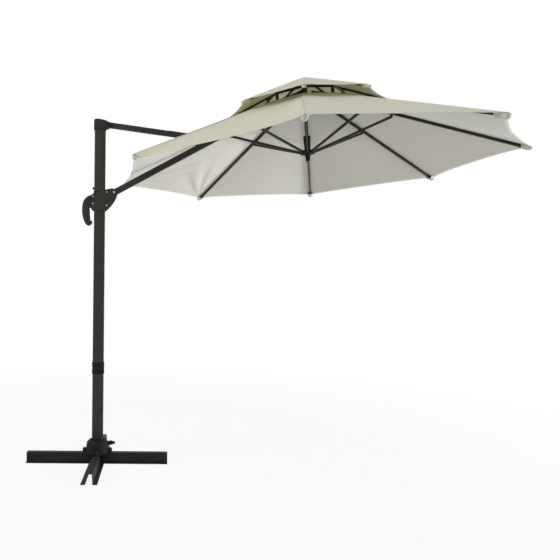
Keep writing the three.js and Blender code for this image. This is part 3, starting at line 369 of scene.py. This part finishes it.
def softenEdges(node, material, widthMm):
    # a welded copy of the solid with its sharp edges rolled over, as on the real piece
    source = bpy.data.objects[node]
    mesh = source.data.copy()
    piece = bpy.data.objects.new(node + "_dressed", mesh)
    bpy.context.scene.collection.objects.link(piece)
    selectOnly(piece)
    bpy.ops.object.mode_set(mode="EDIT")
    bpy.ops.mesh.select_all(action="SELECT")
    bpy.ops.mesh.remove_doubles(threshold=edges["weldMm"] * mm)
    bpy.ops.mesh.dissolve_limited(angle_limit=math.radians(edges["flatDeg"]))
    bpy.ops.object.mode_set(mode="OBJECT")
    rollEdges(piece, widthMm, edges["sharpDeg"])
    piece.data.materials.clear()
    piece.data.materials.append(material)
    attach(piece, source["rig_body"])
    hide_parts(node)


for material, slotName, widthMm, nodes in hardPieces.values():
    for node in nodes:
        softenEdges(node, material, widthMm)
print("the hard pieces are dressed")

# small fasteners that the solids leave out, in millimetres; shares are of the radius and height
capScrew = {
    "radius": 5.8, "height": 4.0, "recess": 2.2, "wallShare": 0.5, "sides": 24, "rolledRim": 0.7,
}
# each ring of the dome is drawn in and up by its two shares
domeRivet = {
    "radius": 4.2, "height": 2.4, "discShare": 0.4, "ringShares": ((0.3, 0.35), (0.45, 0.25)),
    "sides": 20, "rolledRim": 0.3,
}


def topFaces(piece):
    # leaves only the faces selected that look up
    bpy.ops.object.mode_set(mode="OBJECT")
    for face in piece.data.polygons:
        face.select = face.normal.z > 0.9
    bpy.ops.object.mode_set(mode="EDIT")


def startHead(look, height):
    # a disc that stands on the floor, with its top face selected in edit mode
    bpy.ops.object.select_all(action="DESELECT")
    bpy.ops.mesh.primitive_cylinder_add(
        vertices=look["sides"], radius=look["radius"] * mm, depth=height * mm,
        location=(0, 0, height / 2 * mm),
    )
    head = bpy.context.active_object
    bpy.ops.object.mode_set(mode="EDIT")
    bpy.ops.mesh.select_mode(type="FACE")
    topFaces(head)
    return head


def finishHead(head, rimMm):
    bpy.ops.object.mode_set(mode="OBJECT")
    bpy.ops.object.transform_apply(location=True, rotation=True, scale=True)
    rollEdges(head, rimMm, edges["rimDeg"])


def makeCapScrew(look):
    # a low round head with a socket in it
    head = startHead(look, look["height"])
    bpy.ops.mesh.inset(thickness=look["radius"] * look["wallShare"] * mm)
    bpy.ops.mesh.extrude_region_move(
        TRANSFORM_OT_translate={"value": (0, 0, -look["recess"] * mm)},
    )
    finishHead(head, look["rolledRim"])
    return head


def makeDomeRivet(look):
    # a low dome: two rings drawn in and up from a disc
    head = startHead(look, look["height"] * look["discShare"])
    for inShare, upShare in look["ringShares"]:
        bpy.ops.mesh.extrude_region_move(
            TRANSFORM_OT_translate={"value": (0, 0, upShare * look["height"] * mm)},
        )
        bpy.ops.transform.resize(
            value=(1 - inShare, 1 - inShare, 1), center_override=(0, 0, look["height"] * mm),
        )
    finishHead(head, look["rolledRim"])
    return head


def placeHeads(head, name, spots, material, body):
    # each spot is a place in millimetres and the way that the head looks, near side or far
    for number, (x, y, z, way) in enumerate(spots, 1):
        mesh = head.data.copy()
        turn = Matrix.Rotation(math.radians(90 * way), 4, "X")
        mesh.transform(Matrix.Translation(Vector((x, y, z)) * mm) @ turn)
        mesh.materials.clear()
        mesh.materials.append(material)
        piece = bpy.data.objects.new(f"{name}_{number}", mesh)
        bpy.context.scene.collection.objects.link(piece)
        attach(piece, body)
    print(f"{name}: {len(spots)} placed")


# the tubes' middle lines in side view: where each starts, and how steeply it climbs
armLine = {"foot": (102, 1946), "pitchDeg": 29.6}
strutLine = {"foot": (70, 2439), "pitchDeg": -5.7}
# where the heads sit, along and off their tube or else across and up, and how far they lie
# from the parasol's middle plane
plateBolts = {"spots": ((50, 1945), (50, 1849), (-50, 1911), (-50, 1860)), "out": 35.1}
armRivets = {"spots": ((52, 9), (52, -9), (1478, 9), (1478, -9)), "out": 14.0}
strutRivets = {"spots": ((50, 8), (50, -8)), "out": 14.0}
sleeveRivets = {"spots": ((-22, 676), (22, 676)), "out": 30.6}


def alongTube(line, spots):
    pitch = math.radians(line["pitchDeg"])
    x, z = line["foot"]
    return [
        (
            x + reach * math.cos(pitch) - lift * math.sin(pitch),
            z + reach * math.sin(pitch) + lift * math.cos(pitch),
        )
        for reach, lift in spots
    ]


def bothSides(spots, out):
    near = [(x, -out, z, 1) for x, z in spots]
    return near + [(x, out, z, -1) for x, z in spots]


screwHead = makeCapScrew(capScrew)
rivetHead = makeDomeRivet(domeRivet)
placeHeads(
    screwHead, "plate_bolt", bothSides(plateBolts["spots"], plateBolts["out"]),
    zincPlatedSteel, bpy.data.objects["carriage_plate_near"]["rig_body"],
)
placeHeads(
    rivetHead, "arm_rivet", bothSides(alongTube(armLine, armRivets["spots"]), armRivets["out"]),
    powderCoatedAluminium, bpy.data.objects["arm_tube"]["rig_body"],
)
placeHeads(
    rivetHead, "strut_rivet",
    bothSides(alongTube(strutLine, strutRivets["spots"]), strutRivets["out"]),
    powderCoatedAluminium, bpy.data.objects["strut_tube"]["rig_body"],
)
placeHeads(
    rivetHead, "sleeve_rivet", bothSides(sleeveRivets["spots"], sleeveRivets["out"]),
    powderCoatedAluminium, bpy.data.objects["mast_upper"]["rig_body"],
)
for head in (screwHead, rivetHead):
    bpy.data.objects.remove(head)
print("the fasteners are in")

# the canopy: places in it are in millimetres, share runs across a panel from one rib to the
# next, and along runs down it from the vent or the peak to the hem

# a point on the canopy's axis, how far the axis leans, and what both tiers share
canopy = {
    "crown": (1548.816, 0.0, 2758.545),
    "leanDeg": -3.2,
    "ribs": 8,
    "clothMm": 1.0,
    "weaveStretch": 1.08,
    "foldAnchorM": 0.5,
}
# line is the rib's height at the axis and its fall for each millimetre out, lift is how far
# the cloth lies above it, and a hollow is how far the hem curves in between two ribs; the sag
# is deepest two thirds of the way down, and foldKeep is the share of its width that a sheet
# keeps when the canopy is closed
mainTier = {
    "line": (8.0, 0.4),
    "lift": 14.4,
    "inner": 294.0,
    "outer": 1500.0,
    "hollows": (34.0, 42.0, 38.0, 34.0, 6.0, 68.0, 52.0, 48.0),
    "sags": (14.0, 14.0, 14.0, 34.0, 44.0, 9.0, 14.0, 14.0),
    "sagPowers": (2.0, 2.0, 2.0, 2.0, 0.7, 2.0, 2.0, 2.0),
    "sagTurn": 0.75,
    "foldKeep": (0.078, 0.078, 0.078, 0.066, 0.06, 0.06, 0.078, 0.078),
    "columns": 42,
    "rows": 60,
    "ventColumns": 12,
    "tape": {"start": 0.012, "end": 0.99, "rows": 40},
}
topTier = {
    "line": (106.0, 0.415),
    "lift": 10.3,
    "inner": 6.0,
    "outer": 590.0,
    "hollow": 24.0,
    "sag": 5.0,
    "ripple": {"depth": 1.1, "middle": 0.2, "wide": 0.12, "waves": 40},
    "foldKeep": 0.12,
    "columns": 14,
    "rows": 18,
    "tape": {"start": 0.1, "end": 0.985, "rows": 16},
}
# the loose panel beside the mast, with its long folds and the slot that the strut passes
slack = {
    "panel": 3, "depth": 5.5, "middle": 0.24, "wide": 0.15, "waves": 34, "twist": 1.6,
    "firstSide": 0.8, "secondSide": 1.3, "run": 1.2,
}
slot = {"near": 735.0, "far": 925.0, "half": 26.0, "give": 60.0, "corners": 6}
# the hem that hangs below its rib's end, in the next panel
droop = {"panel": 4, "depth": 24.0, "middle": 0.1, "wide": 0.12, "ribGrip": 0.03, "power": 5}
# the rib whose bare end shows, because the cloth is drawn back from it
bareRib = {"index": 3, "back": 26.0, "wide": 0.06}
# the folds that fan out from a rib's end, by panel and by which of its two ribs: depth, where
# their middle lies between the rib and the hem, how wide the fan is, waves, how far out
tension = {
    "usual": (1.4, 0.5, 0.3, 17, 150),
    (2, 0): (15.0, 0.55, 0.22, 23, 430),
    (3, 1): (9.0, 0.34, 0.2, 24, 430),
    (3, 0): (6.0, 0.5, 0.3, 22, 300),
    (2, 1): (6.5, 0.45, 0.26, 24, 430),
    (1, 1): (2.6, 0.4, 0.25, 24, 190),
    (7, 1): (2.0, 0.5, 0.3, 20, 160),
}
# the angle from the rib to the hem, how fast a fan grows and fades, and how its folds curl
fan = {"corner": 1.17, "growth": 0.7, "fade": 0.75, "curl": 0.8}

lean = math.radians(canopy["leanDeg"])
crownPoint = Vector(canopy["crown"]) * mm
canopyFrame = Matrix.Translation(crownPoint) @ Matrix.Rotation(lean, 4, "Y")
ribTurn = 2 * math.pi / canopy["ribs"]
# how wide a panel is for each millimetre out
panelChord = 2 * math.sin(ribTurn / 2)


def ribAngle(index):
    return ribTurn / 2 + index * ribTurn


def bell(value, middle, wide):
    return math.exp(-(((value - middle) / wide) ** 2))


def cornerFolds(panel, share, reach):
    # folds fan out from the pocket at each rib's end, and die away before the rib and the hem
    total = 0.0
    for side, near in ((0, share), (1, 1 - share)):
        across = near * panelChord * reach
        away = mainTier["outer"] - reach + across * math.sin(ribTurn / 2)
        spread = math.atan2(across, max(away, 1.0)) / fan["corner"]
        if spread >= 1:
            continue
        depth, middle, wide, waves, far = tension.get((panel, side), tension["usual"])
        radius = math.hypot(across, away) / far
        body = bell(radius, 1, fan["fade"]) if radius > 1 else radius ** fan["growth"]
        body *= bell(spread, middle, wide) * math.sin(spread * math.pi)
        total += depth * body * math.sin((spread - middle) * waves + radius * fan["curl"])
    return total


def slackFolds(share, along):
    # the loose panel hangs in long soft folds on either side of the strut
    edge = min(share, 1 - share)
    body = bell(edge, slack["middle"], slack["wide"])
    body *= math.sin(min(along * slack["run"], 1) * math.pi)
    side = slack["secondSide"] if share > 0.5 else slack["firstSide"]
    return slack["depth"] * side * body * math.sin(edge * slack["waves"] + slack["twist"] * along)


def hemDroop(share, along):
    body = bell(share, droop["middle"], droop["wide"]) * along ** droop["power"]
    return droop["depth"] * body * (1 - bell(share, 0, droop["ribGrip"]))


def mainSurface(panel, share, along):
    # reach from the axis and height, in millimetres, of the main tier across one panel
    bow = 4 * share * (1 - share)
    inner = mainTier["inner"]
    rim = mainTier["outer"] - mainTier["hollows"][panel] * bow
    if panel in (bareRib["index"], bareRib["index"] - 1):
        fromRib = share if panel == bareRib["index"] else 1 - share
        rim -= bareRib["back"] * bell(fromRib, 0, bareRib["wide"])
    reach = inner + (rim - inner) * along
    base, fall = mainTier["line"]
    sag = mainTier["sags"][panel] * bow ** mainTier["sagPowers"][panel]
    sag *= math.sin(along * math.pi * mainTier["sagTurn"])
    sag += cornerFolds(panel, share, reach)
    if panel == slack["panel"]:
        sag += slackFolds(share, along)
    if panel == droop["panel"]:
        sag += hemDroop(share, along)
    return reach, base - fall * reach + mainTier["lift"] - sag


def topSurface(panel, share, along):
    bow = 4 * share * (1 - share)
    inner = topTier["inner"]
    reach = inner + (topTier["outer"] - topTier["hollow"] * bow - inner) * along
    base, fall = topTier["line"]
    sag = topTier["sag"] * bow ** 2 * along
    edge = min(share, 1 - share)
    ripple = topTier["ripple"]
    body = bell(edge, ripple["middle"], ripple["wide"]) * along ** 2
    sag += ripple["depth"] * body * math.sin(edge * ripple["waves"])
    return reach, base - fall * reach + topTier["lift"] - sag


def slitted(point, share):
    # the slack panel is cut open along its middle, where the strut passes
    middle = (slot["near"] + slot["far"]) / 2
    depth = abs(-point.x / mm - middle) / ((slot["far"] - slot["near"]) / 2)
    margin = slot["half"] + slot["give"]
    off = abs(point.y) / mm
    if depth >= 1 or off > margin:
        return point
    width = slot["half"] * (1 - depth ** slot["corners"]) ** 0.5
    side = 1 if share < 0.5 else -1
    spread = width * (1 - off / margin)
    return Vector((point.x, point.y + side * spread * mm, point.z))


def panelPoint(surface, panel, share, along):
    reach, height = surface(panel, share, along)
    first, second = ribAngle(panel), ribAngle(panel + 1)
    start = Vector((math.cos(first), math.sin(first))) * reach
    end = Vector((math.cos(second), math.sin(second))) * reach
    flat = start.lerp(end, share)
    point = Vector((flat.x, flat.y, height)) * mm
    if surface is mainSurface and panel == slack["panel"]:
        return slitted(point, share)
    return point


def ribSteps(index, columns):
    # from the middle of one panel, over the rib, to the middle of the next
    before = [((index - 1) % canopy["ribs"], 0.5 + 0.5 * c / columns) for c in range(columns)]
    return before + [(index, 0.5 * c / columns) for c in range(columns + 1)]


def makeSheet(name, grid, cuts, materials, thickMm, offset=-1.0):
    # a skin through a grid of canopy points, with its own UV map in metres and a thickness
    tall = len(grid[0])
    points = [canopyFrame @ point for column in grid for point in column]
    flat = [cut for column in cuts for cut in column]
    faces = []
    for c in range(len(grid) - 1):
        for row in range(tall - 1):
            a = c * tall + row
            faces.append((a, a + 1, a + tall + 1, a + tall))
    mesh = bpy.data.meshes.new(name)
    mesh.from_pydata(points, [], faces)
    layer = mesh.uv_layers.new(name="cut")
    for loop in mesh.loops:
        layer.data[loop.index].uv = flat[loop.vertex_index]
    for material in materials:
        mesh.materials.append(material)
    sheet = bpy.data.objects.new(name, mesh)
    bpy.context.scene.collection.objects.link(sheet)
    selectOnly(sheet)
    wall = sheet.modifiers.new("clothThickness", "SOLIDIFY")
    wall.thickness = thickMm * mm
    wall.offset = offset
    wall.material_offset = len(materials) - 1
    wall.material_offset_rim = 0
    bpy.ops.object.modifier_apply(modifier=wall.name)
    bpy.ops.object.shade_smooth_by_angle(angle=math.radians(50))
    return sheet


def makeGore(name, surface, index, columns, rows, materials):
    # the cloth of one rib
    steps = ribSteps(index, columns)
    grid = [[panelPoint(surface, p, s, row / rows) for row in range(rows + 1)] for p, s in steps]
    cuts = []
    for (panel, share), column in zip(steps, grid):
        wide = (share if panel == index else share - 1) * panelChord
        cuts.append([
            (wide * point.length, point.length * canopy["weaveStretch"]) for point in column
        ])
    return makeSheet(name, grid, cuts, materials, canopy["clothMm"])


# the binding tape, in millimetres: over and under are how far it reaches into the cloth above
# and below, and it turns round the cloth's edge with its nose standing out
binding = {"thick": 0.7, "top": 0.55, "bottom": -1.55, "turn": 0.6, "nose": 1.1}
hems = {"rim": {"over": 10, "under": 25}, "vent": {"over": 11, "under": 13}}
# how far into the panel a hem looks to find which way the cloth runs
edgeStep = 0.02
# the tape over each seam: its points either side of the rib, and how high it lies
seamTape = {"sides": (-7.5, -3.5, 0, 3.5, 7.5), "lift": 0.5}


def edgeFrame(surface, panel, share, end):
    # a point on the cloth's edge, the way into the cloth, and the way up from it
    step = edgeStep if end == 0 else -edgeStep
    spot = panelPoint(surface, panel, share, end)
    inward = (panelPoint(surface, panel, share, end + step) - spot).normalized()
    sideways = Vector((-spot.y, spot.x, 0)).normalized()
    up = inward.cross(sideways)
    return spot, inward, up if up.z > 0 else -up


def makeEdging(name, surface, index, end, hem, columns):
    # each point of the tape's section is how far into the cloth and how far above it
    top, bottom = binding["top"], binding["bottom"]
    section = [
        (hem["over"], top), (binding["turn"], top), (-binding["nose"], (top + bottom) / 2),
        (binding["turn"], bottom), (hem["under"], bottom),
    ]
    middle = (hem["over"] + hem["under"]) / 4
    grid, cuts, run = [], [], 0.0
    for panel, share in ribSteps(index, columns):
        spot, inward, up = edgeFrame(surface, panel, share, end)
        grid.append([spot + inward * (a * mm) + up * (b * mm) for a, b in section])
        if len(grid) > 1:
            run += (grid[-1][0] - grid[-2][0]).length
        cuts.append([((abs(a) - middle) * mm, run) for a, b in section])
    return makeSheet(name, grid, cuts, [polyesterBinding], binding["thick"], 0.0)


def makeSeamTape(name, surface, index, tape):
    # a tape over the seam along the rib, on the outside of the cloth
    grid, cuts = [], []
    for side in seamTape["sides"]:
        panel = index if side >= 0 else (index - 1) % canopy["ribs"]
        column, flat = [], []
        for row in range(tape["rows"] + 1):
            along = tape["start"] + (tape["end"] - tape["start"]) * row / tape["rows"]
            reach = surface(panel, 0 if side >= 0 else 1, along)[0]
            share = abs(side) / (panelChord * reach)
            point = panelPoint(surface, panel, share if side >= 0 else 1 - share, along)
            column.append(point + Vector((0, 0, seamTape["lift"] * mm)))
            flat.append((side * mm, point.length))
        grid.append(column)
        cuts.append(flat)
    return makeSheet(name, grid, cuts, [polyesterBinding], binding["thick"], 0.0)


# the pockets that take the ribs' ends: how far out the mouth and the end are, the width, and
# the depth at the mouth and at the end
pockets = {
    "main": {"mouth": 1432.0, "end": 1509.0, "wide": 54.0, "deep": 30.0, "shallow": 25.0},
    "top": {"mouth": 548.0, "end": 616.0, "wide": 34.0, "deep": 26.0, "shallow": 20.0},
}
pocketChanges = {
    0: {"mouth": 1446.0},
    2: {"mouth": 1450.0},
    4: {"deep": 46.0, "shallow": 38.0, "wide": 52.0},
    5: {"deep": 40.0, "shallow": 34.0, "wide": 42.0},
    6: {"deep": 42.0, "shallow": 36.0, "wide": 58.0},
}
# where the nose starts to round off, how much narrower a pocket gets, how wide its tip stays,
# its small creases, and the gap to the cloth
pocketCut = {
    "noseStart": 0.76, "narrowing": 0.22, "tip": 0.12, "creaseDepth": 1.2, "creases": 21,
    "fullness": 0.75, "gap": 1.7, "thick": 1.0, "rows": 18, "columns": 16, "weaveStep": 0.005,
}


def clothHeight(surface, index, off, reach):
    # the height of the cloth beside a rib, in millimetres, sag and folds included
    tier = mainTier if surface is mainSurface else topTier
    inner, outer = tier["inner"], tier["outer"]
    share = abs(off) / (panelChord * reach)
    panel = index if off >= 0 else (index - 1) % canopy["ribs"]
    along = min(1.0, (reach - inner) / (outer - inner))
    near, height = surface(panel, share if off >= 0 else 1 - share, along)
    return height - tier["line"][1] * (reach + abs(off) * math.tan(ribTurn / 2) - near)


def makePocket(name, surface, index, shape, material):
    # a half round tube under the rib's end, closed by a rounded nose
    angle = ribAngle(index)
    outward = Vector((math.cos(angle), math.sin(angle), 0))
    sideways = Vector((-math.sin(angle), math.cos(angle), 0))
    noseStart, tip = pocketCut["noseStart"], pocketCut["tip"]
    grid, cuts = [], []
    for row in range(pocketCut["rows"] + 1):
        t = row / pocketCut["rows"]
        reach = shape["mouth"] + (shape["end"] - shape["mouth"]) * t
        nose = math.sqrt(max(0.0, 1 - max(0.0, (t - noseStart) / (1 - noseStart)) ** 2))
        half = shape["wide"] / 2 * (1 - pocketCut["narrowing"] * t) * (tip + (1 - tip) * nose)
        deep = (shape["deep"] + (shape["shallow"] - shape["deep"]) * t) * nose
        deep += pocketCut["creaseDepth"] * math.sin(t * pocketCut["creases"]) * nose
        column, flat = [], []
        for c in range(pocketCut["columns"] + 1):
            turn = math.pi * c / pocketCut["columns"]
            off = half * math.cos(turn)
            height = clothHeight(surface, index, off, reach)
            height -= pocketCut["gap"] + deep * math.sin(turn) ** pocketCut["fullness"]
            column.append((outward * reach + sideways * off + Vector((0, 0, height))) * mm)
            flat.append((c * pocketCut["weaveStep"], reach * mm))
        grid.append(column)
        cuts.append(flat)
    return makeSheet(name, grid, cuts, [material], pocketCut["thick"], 0.0)


def goreArea(surface, index, rows=30, columns=12):
    # square metres of cloth in one gore, summed over small triangles
    total = 0.0
    for panel, first in (((index - 1) % canopy["ribs"], 0.5), (index, 0.0)):
        for c in range(columns):
            share, after = first + 0.5 * c / columns, first + 0.5 * (c + 1) / columns
            for row in range(rows):
                near, far = row / rows, (row + 1) / rows
                a = panelPoint(surface, panel, share, near)
                b = panelPoint(surface, panel, after, near)
                opposite = panelPoint(surface, panel, after, far)
                d = panelPoint(surface, panel, share, far)
                total += (b - a).cross(opposite - a).length / 2
                total += (opposite - a).cross(d - a).length / 2
    return total


def hang(sheet, index):
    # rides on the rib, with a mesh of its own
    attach(sheet, f"rib_frame_{index + 1}")
    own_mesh(sheet)


for index in range(canopy["ribs"]):
    k = index + 1
    columns = mainTier["columns"]
    gore = makeGore(
        f"main_gore_{k}", mainSurface, index, columns, mainTier["rows"],
        [polyesterCanvas, shadedCanvasUnderside],
    )
    trims = [
        makeEdging(f"rim_hem_{k}", mainSurface, index, 1, hems["rim"], columns),
        makeEdging(f"vent_hem_{k}", mainSurface, index, 0, hems["vent"], mainTier["ventColumns"]),
        makeSeamTape(f"seam_tape_{k}", mainSurface, index, mainTier["tape"]),
    ]
    if index != bareRib["index"]:
        trims.append(makePocket(
            f"corner_pocket_{k}", mainSurface, index,
            pockets["main"] | pocketChanges.get(index, {}), shadedCanvasUnderside,
        ))
    for sheet in [gore, *trims]:
        hang(sheet, index)
    goreArea(mainSurface, index)
    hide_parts("canopy_main")
    columns = topTier["columns"]
    cover = makeGore(
        f"top_gore_{k}", topSurface, index, columns, topTier["rows"],
        [polyesterCanvas, ventTierUnderside],
    )
    trims = [
        makeEdging(f"top_hem_{k}", topSurface, index, 1, hems["rim"], columns),
        makeSeamTape(f"top_seam_tape_{k}", topSurface, index, topTier["tape"]),
        makePocket(f"top_pocket_{k}", topSurface, index, pockets["top"], ventTierUnderside),
    ]
    for sheet in [cover, *trims]:
        hang(sheet, index)
    goreArea(topSurface, index)
    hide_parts("canopy_top")
print("the canopy is hung")

# the webbing ring that ties the vent posts together, in one length for each post
webbing = {
    "reach": 292.6, "height": -46.0, "tall": 18.0, "thick": 1.6, "halfSteps": 6,
    "weaveStep": 0.018, "foldKeep": 0.15,
}


def makeWebbing(index):
    # from the middle of one side of the ring, past the post, to the middle of the next
    angle = ribAngle(index)
    start = Vector((math.cos(angle), math.sin(angle), 0)) * webbing["reach"]
    levels = [webbing["height"] + side * webbing["tall"] for side in (-0.5, 0.5)]
    half = webbing["halfSteps"]
    grid, cuts = [], []
    for step in range(-half, half + 1):
        other = ribAngle(index + (1 if step > 0 else -1))
        end = Vector((math.cos(other), math.sin(other), 0)) * webbing["reach"]
        spot = start.lerp(end, abs(step) / (2 * half))
        grid.append([Vector((spot.x, spot.y, level)) * mm for level in levels])
        cuts.append([(step * webbing["weaveStep"], level * mm) for level in levels])
    name = f"vent_webbing_{index + 1}"
    return makeSheet(name, grid, cuts, [wovenWebbing], webbing["thick"], 1.0)


for index in range(canopy["ribs"]):
    strap = makeWebbing(index)
    hang(strap, index)
    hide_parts("vent_webbing")
print("the webbing is tied")

# floor, light and camera

# the floor takes shadows near the base and turns pure white further out; metres
studio = {
    "floorSize": 60.0, "floorDrop": 0.001, "clearRadius": 2.4, "fadeRadius": 5.5,
    "whiteShare": 0.88, "skyStrength": 0.51,
}
# matt white paper: even, with no shine
floorPaper = {"colour": "#f4f4f4", "roughness": 0.9}


def directSight(tree):
    # one for what the camera sees itself, in a shiny piece or through a clear one
    path = addNode(tree, "ShaderNodeLightPath")
    seen = path.outputs["Is Camera Ray"]
    for kind in ("Is Glossy Ray", "Is Transmission Ray"):
        either = addNode(
            tree, "ShaderNodeMath", {"operation": "ADD", "use_clamp": True},
            links={0: seen, 1: path.outputs[kind]},
        )
        seen = either.outputs["Value"]
    return seen


def makeFloor():
    bpy.ops.object.select_all(action="DESELECT")
    bpy.ops.mesh.primitive_plane_add(
        size=studio["floorSize"], location=(0, 0, -studio["floorDrop"]),
    )
    floor = bpy.context.active_object
    floor.name = "studioFloor"
    material, tree, shader = newMaterial("paleStudioFloor", floorPaper)
    place = addNode(tree, "ShaderNodeTexCoord").outputs["Object"]
    reach = addNode(tree, "ShaderNodeVectorMath", {"operation": "LENGTH"}, links={0: place})
    fade = addNode(
        tree, "ShaderNodeMapRange",
        sockets={
            "From Min": studio["clearRadius"], "From Max": studio["fadeRadius"],
            "To Min": studio["whiteShare"], "To Max": 1.0,
        },
        links={"Value": reach.outputs["Value"]},
    )
    share = addNode(
        tree, "ShaderNodeMath", {"operation": "MULTIPLY"},
        links={0: fade.outputs["Result"], 1: directSight(tree)},
    )
    white = addNode(tree, "ShaderNodeEmission", sockets={"Color": (1, 1, 1, 1), "Strength": 1.0})
    mix = addNode(
        tree, "ShaderNodeMixShader",
        links={0: share.outputs["Value"], 1: shader.outputs["BSDF"], 2: white.outputs["Emission"]},
    )
    tree.links.new(mix.outputs["Shader"], tree.nodes["Material Output"].inputs["Surface"])
    floor.data.materials.append(material)


def makeWorld():
    # a dim sky lights the parasol, and the camera sees plain white in its place
    world = bpy.data.worlds.new("studioWorld")
    bpy.context.scene.world = world
    world.use_nodes = True
    tree = world.node_tree
    tree.nodes.clear()
    sky, white = [
        addNode(
            tree, "ShaderNodeBackground", sockets={"Color": (1, 1, 1, 1), "Strength": strength},
        )
        for strength in (studio["skyStrength"], 1.0)
    ]
    mix = addNode(
        tree, "ShaderNodeMixShader",
        links={
            0: directSight(tree), 1: sky.outputs["Background"], 2: white.outputs["Background"],
        },
    )
    addNode(tree, "ShaderNodeOutputWorld", links={"Surface": mix.outputs["Shader"]})


# places, aims and sizes in metres, power in watts
lamps = {
    "keySoftbox": {"place": (-5.3, -1.9, 4.5), "aim": (0.7, 0, 2.2), "size": 2.8, "power": 182},
    "fillSoftbox": {"place": (5.2, -3.6, 2.6), "aim": (1.2, 0, 1.8), "size": 3.0, "power": 10},
    "lowSoftbox": {"place": (9.5, 0.1, 0.8), "aim": (0.3, 0, 2.3), "size": 1.7, "power": 520},
}


def makeLamps():
    for name, lamp in lamps.items():
        light = bpy.data.lights.new(name, "AREA")
        light.shape = "SQUARE"
        light.size = lamp["size"]
        light.energy = lamp["power"]
        holder = bpy.data.objects.new(name, light)
        bpy.context.scene.collection.objects.link(holder)
        holder.location = lamp["place"]
        aim = Vector(lamp["aim"]) - Vector(lamp["place"])
        holder.rotation_euler = aim.to_track_quat("-Z", "Y").to_euler()


# fitted to the photograph, whose crop is off its centre: metres, degrees, millimetres
view = {
    "place": (-0.1003, -4.2284, 1.2498),
    "turnDeg": (90.866, -0.438, -7.379),
    "lens": 37.287,
    "shift": (0.2143, 0.0),
}


def makeCamera():
    data = bpy.data.cameras.new("photoCamera")
    camera = bpy.data.objects.new("photoCamera", data)
    bpy.context.scene.collection.objects.link(camera)
    data.sensor_fit = "HORIZONTAL"
    data.sensor_width = 36.0
    data.lens = view["lens"]
    data.shift_x, data.shift_y = view["shift"]
    data.clip_start, data.clip_end = 0.05, 200.0
    camera.location = view["place"]
    camera.rotation_euler = [math.radians(a) for a in view["turnDeg"]]
    bpy.context.scene.camera = camera


makeFloor()
makeWorld()
makeLamps()
makeCamera()
bpy.context.scene.view_settings.view_transform = "Standard"
print("the studio is set")
